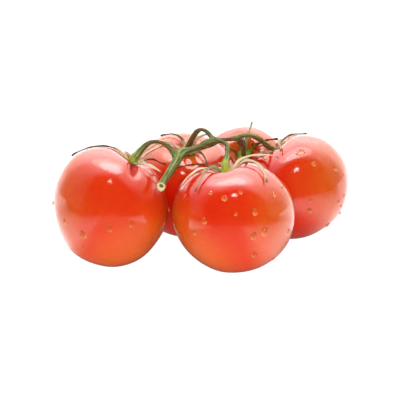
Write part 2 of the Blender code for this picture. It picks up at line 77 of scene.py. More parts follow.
# place: the fruit's middle. top, bottom: how high and how deep it is from there. lean: how far its axis tips.
# full: the heading of its fuller shoulder, how much fuller that is, and how much the flank opposite is below.
# turn: the heading of a rib. creases: heading, depth, and width in degrees.
# blush: how orange the skin is at least, and the directions in the truss where it is most orange.
# arch, rise: how far a sepal's middle and its tip stand off the skin. sweep: how far it turns on its way out.
# fold: how far its edges stand up, as a share of its half width. twist: how far its blade is turned over.
# dry: from fresh green, 0, to straw, 1. dark: from pale, 0, to dark brown, 1.
# rim: how far out the dark near edge of a sepal starts, against the others; that edge is painted partly as shade,
# partly as a dried edge.
FRUITS = (
    Fruit("left", (-55.5, -48.8, 36.28508), 33.1, 30.3, 36.8, 5.0, (0.50, 0.06), (193, 2.0, 2.0), 20,
          ((-80, 2.8, 11), (60, 1.0, 16)), (0.22, (0.55, -0.3, -0.78), (-1.0, -0.1, 0.0)), (
              Sepal(156, 36, 2.4, -0.5, -0.1, 23, 0.3, 15, 0.9, 1.0),
              Sepal(104, 13, 2.4, -0.3, -0.4, 10, 0.3, -10, 0.6, 0.3),
              Sepal(50, 11, 3.0, 0.0, 15.0, -34, 0.4, -35, 1.0, 0.0),
              Sepal(10, 14, 2.0, 2.0, 6.3, 5, 0.5, -30, 1.0, 1.0),
              Sepal(-37, 15.6, 3.2, 0.1, 2.6, 27, 0.3, -45, 1.0, 0.0),
          )),
    Fruit("front", (12.6, -57.4, 32.77428), 33.8, 29.6, 33.8, 8.0, (-0.17, 0.08), (205, 1.4, 0.9), 50,
          ((-100, 0.9, 24), (80, 2.6, 28)), (0.06, (0.92, -0.35, 0.0), (-0.8, -0.2, -0.55)), (
              Sepal(-12, 32, 3.3, 1.0, 0.4, -34, 0.4, -25, 1.0, 0.25),
              Sepal(37, 32, 2.4, 0.0, 9.3, -60, 0.4, -50, 1.0, 0.05),
              Sepal(104, 20, 2.0, 0.8, 0.6, 8, 0.5, 30, 0.9, 0.4),
              Sepal(162, 25, 1.6, 0.0, 8.5, 14, 0.6, 40, 0.9, 1.0),
              Sepal(-158, 28, 2.8, 0.6, 0.4, -6, 0.3, 20, 1.0, 0.0),
              Sepal(-126, 29, 2.5, 1.0, 0.6, -2, 0.5, -60, 0.55, 0.3),
          )),
    Fruit("right", (54.4, 0.4, 32.98823), 34.2, 31.4, 32.4, 8.0, (-0.62, 0.22), (-12, 1.0, 0.5), 5,
          ((-82, 1.3, 34), (120, 1.4, 22)), (0.06, (0.8, -0.5, 0.3)), (
              Sepal(33, 24, 2.0, 0.8, 0.0, -24, 0.5, -30, 0.9, 0.9),
              Sepal(54, 21, 5.4, -1.5, 0.3, -22, 0.3, -60, 1.0, 0.0, 0.75),
              Sepal(166, 18, 1.6, -0.6, 9.1, 68, 0.5, 30, 0.9, 1.0),
              Sepal(-132, 13, 2.2, 1.0, 1.6, -8, 0.5, -30, 0.8, 0.3),
              Sepal(-62, 22, 2.2, 1.2, 0.8, -22, 0.5, 50, 1.0, 0.3),
          )),
    Fruit("middle", (-15.2, 6.6, 33.68603), 35.6, 31.4, 33.8, 8.0, (0.08, -0.42), (186, 0.9, 1.2), 35,
          ((-80, 1.2, 15), (110, 1.0, 18)), (0.0, (-0.2, 0.1, 1.0)), (
              Sepal(-40, 21, 2.0, 1.0, 0.8, -16, 0.5, -30, 0.8, 0.9),
              Sepal(-112, 20, 2.4, 1.2, 0.8, -8, 0.5, -40, 0.6, 0.3),
              Sepal(172, 29, 2.0, 0.4, 0.0, 14, 0.5, 30, 1.0, 0.3),
              Sepal(108, 22, 2.2, 0.5, 0.2, 40, 0.4, 40, 0.9, 0.8),
              Sepal(61, 14, 3.0, 1.1, 3.8, -22, 0.3, -60, 0.7, 0.0),
          )),
    Fruit("back", (25.6, 58.2, 29.40118), 31.6, 27.9, 27.7, 8.0, (-0.11, -1.1), (90, 2.2, 0.0), 10,
          ((-60, 1.0, 14), (100, 1.2, 18)), (0.1, (0.5, -0.8, 0.4)), (
              Sepal(67, 20, 3.2, 2.8, 6.1, 5, 0.4, 15, 0.4, 0.1),
              Sepal(37, 23, 2.7, 0.0, 4.2, -14, 0.4, -40, 0.1, 0.9),
              Sepal(-6, 13, 2.2, 1.2, 1.6, -14, 0.6, -50, 0.4, 0.9),
              Sepal(-98, 17, 3.6, 1.0, 1.0, 6, 0.5, -40, 0.3, 0.2),
              Sepal(152, 15, 2.2, 1.4, 1.8, 16, 0.6, 50, 0.4, 0.85),
          )),
)

CAVITY_RADIUS = 9.5
RIB_COUNT = 6
RIB_HEIGHT = 0.014
OVAL = 0.010
BLOSSOM_DENT = 1.6
BLOSSOM_RADIUS = 9.0
CREASE_REACH = 13.0
CREASE_LENGTH = 8.0
# The next four set the painted shade down each crease: where it is darkest, how wide its line is, how it fades, and
# when it counts in full.
CREASE_MIDDLE = 11.0  # how far out a crease is darkest
CREASE_CORE = 3.0  # how wide the dark line down a crease is
CREASE_FADE = 11.0
CREASE_STEEP = 0.21  # the depth over the width, in degrees, at which a crease counts in full
SKIN_STEP = 0.01  # radians

FINE_SPOKES = 168
FINE_CAVITY_RINGS = 30
FINE_FLANK_RINGS = 76
FINE_START = 0.5  # the first ring's radius
FINE_END = 0.012  # the last ring's angle, in radians
CAVITY_EDGE = 20.2
FAR = 99.0  # for a point that isn't near at all
SKIN_INSET = 0.13  # keeps the swells inside the plain solid's box
SWELL_HEIGHT = 0.10  # soft unevenness of the skin
SWELL_WAVES = (9, 9.0, 26.0)  # how many, from how short to how long
WRINKLE_HEIGHT = 0.08
WRINKLE_COUNT = 23
WRINKLE_BEND = 2.2
WRINKLE_REACH = 7.6
WRINKLE_LENGTH = 3.4
SCAR_RADIUS = 1.2
SCAR_HEIGHT = 0.5
BLUSH_EDGE = 0.25  # the cosine of the angle at which a blush begins

DISC_FLAT = 0.69  # the disc's flat top, as a share of its reach
DISC_CORE = 0.9
DISC_GAP = 0.12
DISC_SIDES = 60
DISC_LOBE = 20  # degrees
SEPAL_ROOT = 2.0
SEPAL_LIFT = 0.62
SEPAL_TIP = 0.26
SEPAL_KNOB = 0.5  # how far a dark sepal's tip is swollen, as a share of its half width
SEPAL_NECK = 0.78
SEPAL_FULL_AT = 0.25
SEPAL_TWIST_AT = (0.04, 0.45)  # shares of the length where it starts to turn, and has turned
SEPAL_FOLD_AT = (0.02, 0.35)
SEPAL_WAVE_AT = (0.1, 0.5)
SEPAL_KEEL = 0.22
SEPAL_TAPER_POWER = 1.6
SEPAL_SWEEP_POWER = 1.3
SEPAL_THICKNESS = 0.5
SEPAL_WIDE = 1.2  # how wide, against the plain blade, whose edges are blunt
SEPAL_STATIONS = 56
SEPAL_ACROSS = 9
WALK_STEP = 0.25

STEM_STEP = 0.3  # the grid on which the stem's surface is found
STEM_BLEND = 1.7  # how widely two strands flow into each other
STEM_SPACING = 0.35
STEM_REACH = 2.6  # how far from a strand its field is worked out
STEM_MARGIN = 3.6  # more room for the field than its reach
STEM_RELAXING = (2, 0.5)  # rounds, and how far in each
FORK_CLEAR = (0.4, 2.4)  # distances from the next strand, near a fork and clear of it
PEDICEL_COLLAR = 0.9
PEDICEL_SUNK = 0.5  # how far a strand's end runs into its calyx
KNUCKLE_SWELL = 0.10
KNUCKLE_LENGTH = 1.6
KNUCKLE_GROOVE = 0.09
GROOVE_LENGTH = 0.45
CUT_REACH = 5.0  # how far round the cut end the field is cut
CUT_REGION = 6.0  # how far round it a face may count as cut
CUT_HOLLOW = 0.45
TORN_DOWN = np.array([-0.25, 0.0, -1.0])  # where the torn tip points
TORN_FLARE = 0.25  # how far the rim of the cut end is bent outwards
TORN_TIP = 1.1  # how far it is drawn out below
# The next two set where each strand gets painted shade: its lower right side, and further back its right side
# instead.
SHADED_SIDE = np.array([0.5, 0.0, -0.87])  # the side of each strand that is dark
BEHIND = (1.0, 7.0)  # from here backwards a strand's right side is dark instead
RIDGE_COUNT = 6
RIDGE_HEIGHT = 0.2
FINE_BUMPS = (12, 0.9, 2.4)  # how many waves, from how short to how long
COARSE_BUMPS = (8, 3.0, 7.0)
SLICED_FROM = (0.55, 0.8)  # how squarely a face looks along the stem's end to count as cut

# Each point is x, y, z, the stem's radius and its tone, from pale lime, 0, to dark purplish green, 1.
STRANDS = {
    "right": (  # the main stem from its cut end, and the last pedicel
        (-26.5, -70.6, 51.5, 2.35, 0.35), (-25.2, -66.5, 53.5, 1.88, 0.3), (-23.3, -62.5, 55.6, 2.22, 0.3),
        (-21.6, -58.9, 57.5, 2.29, 0.25), (-20.0, -55.5, 59.6, 2.42, 0.2), (-18.7, -51.5, 61.5, 2.66, 0.15),
        (-17.5, -47.7, 63.5, 3.07, 0.1), (-14.8, -43.7, 64.5, 2.59, 0.2), (-11.5, -39.7, 64.7, 1.82, 0.3),
        (-8.4, -36.3, 65.1, 1.66, 0.35), (-5.6, -33.0, 65.5, 2.13, 0.4), (-2.7, -30.0, 66.2, 2.50, 0.45),
        (0.3, -27.3, 66.6, 2.57, 0.5), (2.8, -25.0, 67.2, 1.88, 0.6), (5.9, -21.5, 67.2, 1.18, 0.7),
        (9.4, -17.5, 66.6, 1.01, 0.75), (12.5, -14.5, 66.4, 1.14, 0.5), (15.6, -12.0, 66.5, 1.33, 0.25),
        (18.4, -10.1, 67.2, 1.24, 0.18), (21.5, -8.4, 67.6, 1.28, 0.15), (24.7, -6.7, 67.2, 1.34, 0.15),
        (28.1, -5.0, 65.9, 1.41, 0.18), (31.1, -2.9, 63.9, 1.54, 0.2), (33.9, -0.7, 61.3, 1.64, 0.2),
        (36.3, 1.5, 58.8, 1.72, 0.2),
    ),
    "left": (
        (-18.4, -49.9, 62.6, 2.00, 0.2), (-21.0, -49.1, 65.8, 1.67, 0.35), (-23.0, -48.5, 68.0, 1.45, 0.6),
        (-25.3, -48.0, 69.6, 1.22, 0.75), (-27.8, -47.7, 70.7, 1.08, 0.85), (-30.6, -47.7, 71.1, 1.08, 0.85),
        (-33.4, -47.7, 70.7, 1.22, 0.8), (-35.6, -47.8, 69.3, 1.56, 0.5), (-37.6, -47.8, 67.5, 1.73, 0.25),
        (-39.7, -47.7, 65.2, 1.95, 0.12), (-41.4, -47.7, 63.0, 2.24, 0.08),
    ),
    "middle": (
        (2.2, -25.7, 67.8, 1.76, 0.45), (0.2, -23.0, 70.1, 1.35, 0.5), (-1.6, -21.6, 71.8, 1.21, 0.6),
        (-3.6, -20.5, 72.85, 1.09, 0.75), (-5.6, -19.5, 72.9, 1.09, 0.8), (-7.6, -18.4, 71.7, 1.42, 0.85),
        (-9.3, -16.7, 69.1, 1.55, 0.9), (-10.9, -13.9, 65.8, 1.56, 0.8), (-12.2, -10.9, 62.4, 1.82, 0.5),
    ),
    "front": (
        (2.5, -25.5, 67.1, 1.88, 0.5), (5.6, -28.5, 67.8, 1.28, 0.55), (7.8, -32.1, 67.7, 1.24, 0.5),
        (9.5, -36.7, 67.1, 1.26, 0.5), (9.9, -41.3, 65.7, 1.30, 0.5), (9.6, -45.7, 63.9, 1.40, 0.4),
        (9.2, -49.1, 62.1, 1.73, 0.2),
    ),
    "back": (
        (15.3, -12.1, 66.3, 1.33, 0.3), (18.3, -5.2, 64.4, 1.96, 0.2), (20.4, 6.0, 60.2, 2.64, 0.1),
        (21.8, 17.0, 55.6, 2.26, 0.2), (22.8, 27.3, 51.5, 1.78, 0.45),
    ),
}
# The disc's reach and height, the strand's length down the fruit's axis, its radius where that begins, near its end
# and where it ends, and its tone.
Foot = namedtuple("Foot", "disc height lead neck flare seat tone")
FEET = {
    "left": Foot(2.5, 2.4, 1.8, 2.35, 2.7, 2.86, 0.05),
    "front": Foot(3.7, 3.4, 2.6, 2.1, 2.35, 2.4, 0.0),
    "right": Foot(3.7, 3.2, 1.6, 1.5, 1.65, 1.8, 0.1),
    "middle": Foot(4.2, 3.4, 2.0, 1.8, 2.0, 2.2, 0.4),
    "back": Foot(4.8, 3.4, 2.6, 1.5, 1.55, 1.7, 0.6),
}
KNUCKLES = {"left": 0.50, "middle": 0.60, "front": 0.70, "back": 0.28, "right": 0.85}  # how far along a strand

HAIR_COUNT = 4200
HAIR_SUNK = 0.08
HAIR_SPREAD = 0.45  # how much the hairs lean each their own way
HAIR_LENGTH = (0.25, 0.75)
HAIR_RADIUS = 0.03

# Water drops on each fruit: image column and row in the photograph, and the drop's width.
DROPS = {
    "left": ((84, 235, 4.4), (131, 224, 3.2), (111, 229, 3.0), (65, 222, 3.0), (53.5, 203, 2.5),
             (82.5, 247, 2.1), (109.9, 181, 1.7)),
    "front": ((265, 231, 4.8), (253, 237, 3.7), (288.5, 231, 3.0), (273, 258.5, 2.5), (254, 254, 3.2),
              (204.5, 221, 3.0), (236, 214, 2.1), (225, 198, 3.4), (240, 193, 2.5), (211, 193, 2.5),
              (275, 195, 3.2), (283, 188, 2.1), (195, 232, 3.0), (256, 212, 3.4)),
    "right": ((301, 152, 5.8), (335, 168, 3.7), (314, 163, 3.2), (310, 211, 3.4), (310, 201, 2.5),
              (338, 202, 2.3), (341, 206, 1.8), (340, 213, 2.5), (327, 225, 3.4), (344, 196, 1.8),
              (343, 174, 2.1)),
}
SCATTER_COUNT = {"left": 16, "front": 12, "right": 14, "middle": 12, "back": 18}
SCATTER_WIDTH = (1.0, 3.2)
DROP_HEIGHT = 0.30  # as a share of its width
DROP_SUNK = 0.25
DROP_ROOM = 1.4  # how far inside the plain model's box scattered drops are
DROP_BED = 34.0  # the radius of the skin that a drop spreads over
DROP_LOWEST = 9.0  # scattered drops stay off the table and out of the stem cavity
DROP_INNER = 19.0
DROP_RINGS = 10
DROP_SPOKES = 28


def bump(offset, width):
    """A smooth hump of height 1 at offset 0, which has faded at twice the width."""
    return np.exp(-((offset / width) ** 2))


def smooth_step(value, low, high):
    """From 0 at low to 1 at high, with soft ends."""
    share = np.clip((value - low) / (high - low), 0, 1)
    return share * share * (3 - 2 * share)


def turned_from(angle, heading):
    """An angle in radians, as degrees off a heading, from -180 to 180."""
    return (np.degrees(angle) - heading + 180) % 360 - 180


def unit(vectors):
    """The same directions with length 1."""
    return vectors / np.linalg.norm(vectors, axis=-1, keepdims=True)


def waves(points, seed, count, shortest, longest):
    """Smooth unevenness, about from -1 to 1: a sum of random sine waves."""
    draw = np.random.RandomState(seed)
    total = np.zeros(points.shape[:-1])
    for _ in range(count):
        direction = unit(draw.normal(size=3))
        length = draw.uniform(shortest, longest)
        total += np.sin(points @ direction * (2 * math.pi / length) + draw.uniform(0, 2 * math.pi))
    return total / math.sqrt(count) / 1.5


def link(name, data):
    """A new object of this data, in the scene."""
    thing = bpy.data.objects.new(name, data)
    bpy.context.scene.collection.objects.link(thing)
    return thing


def store(mesh, label, values):
    """Stores a number at each point of a mesh."""
    layer = mesh.attributes.new(label, "FLOAT", "POINT")
    layer.data.foreach_set("value", np.asarray(values, np.float32).ravel())


def write_mesh(name, points, faces, material, facts=None):
    """A smooth piece with numbers stored at its points."""
    mesh = bpy.data.meshes.new(name)
    mesh.from_pydata((np.asarray(points) * MM).tolist(), [], [tuple(face) for face in faces])
    mesh.update()
    mesh.shade_smooth()
    mesh.materials.append(material)
    for label, values in (facts or {}).items():
        store(mesh, label, values)
    return link(name, mesh)


def ring_faces(rows, columns):
    """The quads between closed rings of points."""
    return [
        (row + spoke, row + columns + spoke, row + columns + after, row + after)
        for row in range(0, (rows - 1) * columns, columns)
        for spoke, after in zip(range(columns), [*range(1, columns), 0])
    ]


def tipped_rings(rows, columns):
    """The faces of closed rings with two tips, whose points come last."""
    faces, bottom = ring_faces(rows, columns), (rows - 1) * columns
    for spoke in range(columns):
        after = (spoke + 1) % columns
        faces.append((rows * columns, spoke, after))
        faces.append((rows * columns + 1, bottom + after, bottom + spoke))
    return faces


def capped_rings(rings):
    """The points of closed rings, and their faces with a cap at each end."""
    rows, columns = rings.shape[:2]
    faces = [face[::-1] for face in ring_faces(rows, columns)]
    faces.append(tuple(range(columns))[::-1])
    faces.append(tuple(range((rows - 1) * columns, rows * columns)))
    return rings.reshape(-1, 3), faces


# Skin

def skin_points(fruit, polar, around):
    """Points of the skin in the fruit's own frame: polar is 0 at the stem end."""
    polar, around = np.broadcast_arrays(np.asarray(polar, float), np.asarray(around, float))
    reach = fruit.radius * np.sin(polar)
    shoulder = np.sin(polar) ** 2 * (1 + np.cos(polar)) / 2
    ribs = RIB_HEIGHT * shoulder * np.cos(RIB_COUNT * (around - math.radians(fruit.turn)))
    oval = OVAL * np.cos(2 * around + math.radians(fruit.turn))
    full_heading, full_shoulder, full_flank = fruit.full
    towards_full = np.cos(around - math.radians(full_heading))
    swell = np.sin(2 * polar) ** 2 * np.sin(polar) * towards_full
    upper = swell * full_shoulder
    for heading, depth, width in fruit.creases:
        across = bump(turned_from(around, heading), width)
        upper = upper - depth * across * bump(reach - CREASE_REACH, CREASE_LENGTH)
    on_top = polar < math.pi / 2
    swell = np.where(on_top, upper, -swell * full_flank)
    height = np.where(
        on_top,
        fruit.top * np.cos(polar) - fruit.cavity * bump(reach, CAVITY_RADIUS),
        fruit.bottom * np.cos(polar) + BLOSSOM_DENT * bump(reach, BLOSSOM_RADIUS),
    )
    wide = reach * (1 + ribs + oval) + swell * np.sin(polar)
    height = height + swell * np.cos(polar)
    return np.stack([wide * np.cos(around), wide * np.sin(around), height], -1)


def skin_normals(fruit, polar, around):
    """The directions straight out of the skin."""
    polar = np.clip(polar, 2 * SKIN_STEP, math.pi - 2 * SKIN_STEP)
    down = skin_points(fruit, polar + SKIN_STEP, around) - skin_points(fruit, polar - SKIN_STEP, around)
    along = skin_points(fruit, polar, around + SKIN_STEP) - skin_points(fruit, polar, around - SKIN_STEP)
    return unit(np.cross(down, along))


def axis_turn(fruit):
    """The rotation that tips an upright fruit to its lean."""
    axis = Vector((fruit.lean[0], fruit.lean[1], 1)).normalized()
    return np.array(Vector((0, 0, 1)).rotation_difference(axis).to_matrix())


def into_truss(fruit, points):
    """Points of a fruit's own frame, in the truss's."""
    return points @ axis_turn(fruit).T + np.add(fruit.place, FOOTPRINT_SHIFT)


def fine_skin(fruit, number):
    """The fine skin's points in the fruit's own frame, with their directions and places."""
    cavity = np.arcsin(np.linspace(FINE_START, CAVITY_EDGE, FINE_CAVITY_RINGS) / fruit.radius)
    flank = np.linspace(cavity[-1], math.pi - FINE_END, FINE_FLANK_RINGS + 1)[1:]
    polar = np.concatenate([cavity, flank])[:, None]
    around = (2 * math.pi * np.arange(FINE_SPOKES) / FINE_SPOKES)[None, :]
    points = skin_points(fruit, polar, around)
    outward = skin_normals(fruit, polar, around)
    reach = np.broadcast_to(fruit.radius * np.sin(polar), points.shape[:2])
    on_top = np.broadcast_to(polar < math.pi / 2, points.shape[:2])
    relief = SWELL_HEIGHT * waves(points, SEED + number, *SWELL_WAVES) - SKIN_INSET
    wrinkles = np.cos(WRINKLE_COUNT * around + WRINKLE_BEND * np.sin(3 * around + number))
    wrinkles = WRINKLE_HEIGHT * wrinkles * bump(reach - WRINKLE_REACH, WRINKLE_LENGTH)
    relief = relief + np.where(on_top, wrinkles, 0)
    relief = relief + np.where(on_top, 0, SCAR_HEIGHT * bump(reach, SCAR_RADIUS))
    return points + outward * relief[..., None], outward, reach, on_top


def make_skin(fruit, number, material):
    """One tomato's fine skin, pressed flat where it rests on the surface."""
    grid, outward, reach, on_top = fine_skin(fruit, number)
    rows, columns = grid.shape[:2]
    points = into_truss(fruit, grid.reshape(-1, 3))
    points = np.vstack([points, points[:columns].mean(0), points[-columns:].mean(0)])
    points[:, 2] = np.maximum(points[:, 2], 0)
    directions = outward.reshape(-1, 3) @ axis_turn(fruit).T
    least, *sides = fruit.blush
    blush = np.max([smooth_step(directions @ unit(np.array(side)), BLUSH_EDGE, 1.0) for side in sides], 0)
    around = np.broadcast_to(2 * math.pi * np.arange(columns) / columns, (rows, columns))
    # crease: how much painted shade each point gets, most down the middle line of each crease.
    crease = sum(
        depth / width * bump(reach * np.radians(turned_from(around, heading)), CREASE_CORE)
        for heading, depth, width in fruit.creases
    ) * np.where(on_top, bump(np.maximum(reach - CREASE_MIDDLE, 0), CREASE_FADE), 0) / CREASE_STEEP
    facts = {  # at each point, and at the stem end and the blossom end
        "blush": (least + (1 - least) * blush, least, least),
        "cavity": (np.where(on_top, reach, FAR), 0, FAR),
        "scar": (np.where(on_top, FAR, reach), FAR, 0),
        "crease": (crease, 0, 0),
    }
    facts = {label: np.append(values.ravel(), ends) for label, (values, *ends) in facts.items()}
    return write_mesh(f"skin_{fruit.name}", points, tipped_rings(rows, columns), material, facts)


# Calyx

def disc_top(fruit):
    """The height of the calyx disc's top along the fruit's axis."""
    return skin_points(fruit, 0.0, 0.0)[2] + FEET[fruit.name].height


def disc_shape(fruit):
    """The calyx's disc: a lobed green collar on the cavity's floor."""
    angles = 2 * math.pi * np.arange(DISC_SIDES) / DISC_SIDES
    top, reach = disc_top(fruit), FEET[fruit.name].disc
    lobes = sum(bump(turned_from(angles, sepal.heading), DISC_LOBE) for sepal in fruit.sepals)
    pleats = 0.10 * np.cos(5 * angles) + 0.06 * np.cos(17 * angles + 1.0)

    def ring(wide, height):
        return np.stack([wide * np.cos(angles), wide * np.sin(angles), height + 0 * angles], -1)

    def floor(wide):
        return skin_points(fruit, np.arcsin(wide / fruit.radius), angles)[:, 2] + DISC_GAP

    core = DISC_CORE + 0 * angles
    low = reach * 0.93 + 0.5 * lobes
    rim = reach * 0.98 + 0.7 * lobes + pleats
    flat = reach * DISC_FLAT
    return capped_rings(np.array([
        ring(core, floor(core)),
        ring(low * 0.55, floor(low * 0.55)),
        ring(low, floor(low)),
        ring(rim, floor(rim) + 0.55),
        ring(rim * 0.96, floor(rim) + 1.1 + 0.2 * lobes),
        ring(rim * 0.86, (floor(rim) + 1.2 + top) / 2 + 0.3 * lobes),
        ring(flat * 1.02 + pleats * 0.7, top - 0.35 + 0.15 * lobes),
        ring(flat * 0.86 + pleats * 0.5, top - 0.02),
        ring(flat * 0.45, top + 0.05),
    ]))


def skin_walk(fruit, sepal):
    """The angles of even steps along the skin under a sepal, out from the disc."""
    polar, walked = math.asin(SEPAL_ROOT / fruit.radius), 0.0
    around = math.radians(sepal.heading)
    last = skin_points(fruit, polar, around)
    path = [(polar, around)]
    while walked < sepal.length:
        polar += WALK_STEP / fruit.radius / 2
        share = min(walked / sepal.length, 1)
        around = math.radians(sepal.heading + sepal.sweep * share**SEPAL_SWEEP_POWER)
        here = skin_points(fruit, polar, around)
        walked += float(np.linalg.norm(here - last))
        last = here
        path.append((polar, around))
    return np.array(path)


def sepal_line(fruit, sepal):
    """The middle line of a sepal with its outward directions, at its stations."""
    path = skin_walk(fruit, sepal)
    share = np.linspace(0, 1, SEPAL_STATIONS)
    steps = np.linspace(0, 1, len(path))
    polar = np.interp(share, steps, path[:, 0])
    around = np.interp(share, steps, path[:, 1])
    outward = skin_normals(fruit, polar, around)
    lift = SEPAL_LIFT + sepal.arch * np.sin(math.pi * share) ** 2 + sepal.rise * share**2
    return skin_points(fruit, polar, around) + outward * lift[:, None], outward, share


def sepal_shape(fruit, sepal, number):
    """One sepal: a thin keeled blade with waved edges, twisting to a withered tip."""
    middle, outward, share = sepal_line(fruit, sepal)
    along = unit(np.gradient(middle, axis=0))
    side = unit(np.cross(along, outward))
    upward = np.cross(side, along)
    opened = np.sin(math.pi / 2 * np.minimum(share / SEPAL_FULL_AT, 2))
    swell = SEPAL_NECK + (1 - SEPAL_NECK) * opened
    taper = SEPAL_TIP + (1 - SEPAL_TIP) * (1 - share**SEPAL_TAPER_POWER)
    taper = taper + SEPAL_KNOB * sepal.dark * bump(share - 0.96, 0.07)
    phase = 1.7 * number + sepal.heading
    half = SEPAL_WIDE * sepal.width / 2 * swell * taper * (1 + 0.07 * np.sin(share * 19 + phase))
    turn = np.radians(sepal.twist) * smooth_step(share, *SEPAL_TWIST_AT)
    turned_side = side * np.cos(turn)[:, None] + upward * np.sin(turn)[:, None]
    turned_up = upward * np.cos(turn)[:, None] - side * np.sin(turn)[:, None]
    middle = middle + upward * (np.abs(np.sin(turn)) * half * 0.7)[:, None]
    across = np.linspace(-1, 1, SEPAL_ACROSS)
    share, half = share[:, None], half[:, None]
    fold = sepal.fold * smooth_step(share, *SEPAL_FOLD_AT)
    wave = 0.22 * np.sin(share * 15 + phase) * np.sign(across) + 0.14 * np.sin(share * 27 - phase)
    bow = half * np.abs(across) ** 1.6 * (fold + wave * smooth_step(share, *SEPAL_WAVE_AT))
    closing = 1 - 0.35 * fold * across**2
    thick = SEPAL_THICKNESS / 2 * (1 - 0.55 * across**2) * (0.75 + 0.25 * (1 - share))
    keel = SEPAL_KEEL * bump(across, 0.22) * (1 - 0.7 * share)

    def sheet(height):
        sideways = (half * across * closing)[..., None] * turned_side[:, None, :]
        return middle[:, None, :] + sideways + height[..., None] * turned_up[:, None, :]

    lower = sheet(bow - thick - keel)
    return capped_rings(np.concatenate([sheet(bow + thick - 0.5 * keel), lower[:, ::-1]], axis=1))


def join_shapes(name, shapes, material):
    """One closed mesh of overlapping closed shapes."""
    body, *others = [write_mesh(f"{name}_{number}", *shape, material) for number, shape in enumerate(shapes)]
    helpers = bpy.data.collections.new(f"{name}_repeats")
    bpy.context.scene.collection.children.link(helpers)
    for piece in others:
        bpy.context.scene.collection.objects.unlink(piece)
        helpers.objects.link(piece)
    union = body.modifiers.new("join", "BOOLEAN")
    union.operation = "UNION"
    union.solver = "MANIFOLD"
    union.operand_type = "COLLECTION"
    union.collection = helpers
    bpy.context.view_layer.update()
    mesh = bpy.data.meshes.new_from_object(body.evaluated_get(bpy.context.evaluated_depsgraph_get()))
    for piece in (body, *others):
        bpy.data.objects.remove(piece)
    bpy.data.collections.remove(helpers)
    mesh.name = name
    mesh.shade_smooth()
    return link(name, mesh)


def mesh_points(mesh):
    """A mesh's points, in millimetres."""
    flat = np.empty(len(mesh.vertices) * 3, np.float32)
    mesh.vertices.foreach_get("co", flat)
    return flat.reshape(-1, 3).astype(float) / MM


def nearest(points, centres, radii=0.0):
    """How far from each point the nearest of many balls is, and which it is."""
    gaps, picks = [], []
    for chunk in np.array_split(points, 40):
        away = np.linalg.norm(chunk[:, None] - centres, axis=-1) - radii
        gaps.append(away.min(1))
        picks.append(away.argmin(1))
    return np.concatenate(gaps), np.concatenate(picks)


def make_calyx(fruit, material):
    """The disc and its sepals as one star."""
    shapes = [disc_shape(fruit)]
    shapes += [sepal_shape(fruit, sepal, number) for number, sepal in enumerate(fruit.sepals)]
    shapes = [(into_truss(fruit, points), faces) for points, faces in shapes]
    body = join_shapes(f"calyx_star_{fruit.name}", shapes, material)
    points = mesh_points(body.data)
    stations, facts = [], []
    for sepal in fruit.sepals:
        middle, outward, share = sepal_line(fruit, sepal)
        sides = unit(np.cross(np.gradient(middle, axis=0), outward)) @ axis_turn(fruit).T
        stations.extend(into_truss(fruit, middle))
        for side, part in zip(sides, share):
            # edge: where a point lies across its blade, signed so the near edge is the one painted dark, partly as
            # shade and partly as a dried edge.
            width = sepal.width * math.copysign(sepal.rim, -side[1])
            facts.append((part, sepal.dry, sepal.dark, width, *side))
    stations, facts = np.array(stations), np.array(facts)
    _, pick = nearest(points, stations)
    share, dry, dark, width = facts[pick, :4].T
    offset = ((points - stations[pick]) * facts[pick, 4:]).sum(-1)
    edge = np.clip(offset / (width / 2) / SEPAL_WIDE, -1.2, 1.2)
    for label, values in {"along": share, "dry": dry, "dark": dark, "edge": edge}.items():
        store(body.data, label, values)
    return body


# Stem

def smooth_route(points):
    """Close points on a centripetal Catmull-Rom spline through the given ones."""
    knots = np.vstack([2 * points[0] - points[1], points, 2 * points[-1] - points[-2]])
    fine = []
    for p0, p1, p2, p3 in zip(knots, knots[1:], knots[2:], knots[3:]):
        t1, t2, t3 = np.cumsum([np.linalg.norm((b - a)[:3]) ** 0.5 for a, b in ((p0, p1), (p1, p2), (p2, p3))])
        steps = max(2, round(np.linalg.norm((p2 - p1)[:3]) / STEM_SPACING))
        t = np.linspace(t1, t2, steps, endpoint=False)[:, None]

        def led(first, second, start, end):
            return first * ((end - t) / (end - start)) + second * ((t - start) / (end - start))

        a1, a2, a3 = led(p0, p1, 0, t1), led(p1, p2, t1, t2), led(p2, p3, t2, t3)
        fine.append(led(led(a1, a2, 0, t2), led(a2, a3, t1, t3), t1, t2))
    return np.vstack(fine + [knots[-2]])


def walked_along(places):
    """How far each place on a route is from its start, along it."""
    return np.append(0, np.linalg.norm(np.diff(places, axis=0), axis=1).cumsum())


def with_knuckle(route, place):
    """The route with its knuckle: a swelling with a groove round its middle."""
    lengths = walked_along(route[:, :3])
    off = lengths - place * lengths[-1]
    route[:, 3] *= 1 + KNUCKLE_SWELL * bump(off, KNUCKLE_LENGTH) - KNUCKLE_GROOVE * bump(off, GROOVE_LENGTH)
    return route


def pedicel_end(fruit):
    """The last points of a strand, down the fruit's axis to its calyx."""
    seat, foot = disc_top(fruit) - PEDICEL_SUNK, FEET[fruit.name]
    steps = ((foot.lead, foot.neck), (PEDICEL_COLLAR, foot.flare), (0.0, foot.seat))
    places = into_truss(fruit, np.array([(0, 0, seat + height) for height, _ in steps]))
    return [(*place, radius, foot.tone) for place, (_, radius) in zip(places, steps)]


def stem_routes():
    """The five strands of the stem, as close points with radius and tone."""
    by_name = {fruit.name: fruit for fruit in FRUITS}
    routes = []
    for name, points in STRANDS.items():
        points = np.vstack([np.add(points, (*FOOTPRINT_SHIFT, 0, 0)), pedicel_end(by_name[name])])
        routes.append(with_knuckle(smooth_route(points), KNUCKLES[name]))
    return routes


def window(low, place, reach, shape):
    """The part of the grid near a place: its slices, and how far off it is along each axis."""
    start = np.maximum(((place - low - reach) / STEM_STEP).astype(int), 0)
    stop = np.minimum(((place - low + reach) / STEM_STEP).astype(int) + 2, shape)
    off = np.ix_(*(low[a] + STEM_STEP * np.arange(start[a], stop[a]) - place[a] for a in range(3)))
    return tuple(slice(*ends) for ends in zip(start, stop)), off


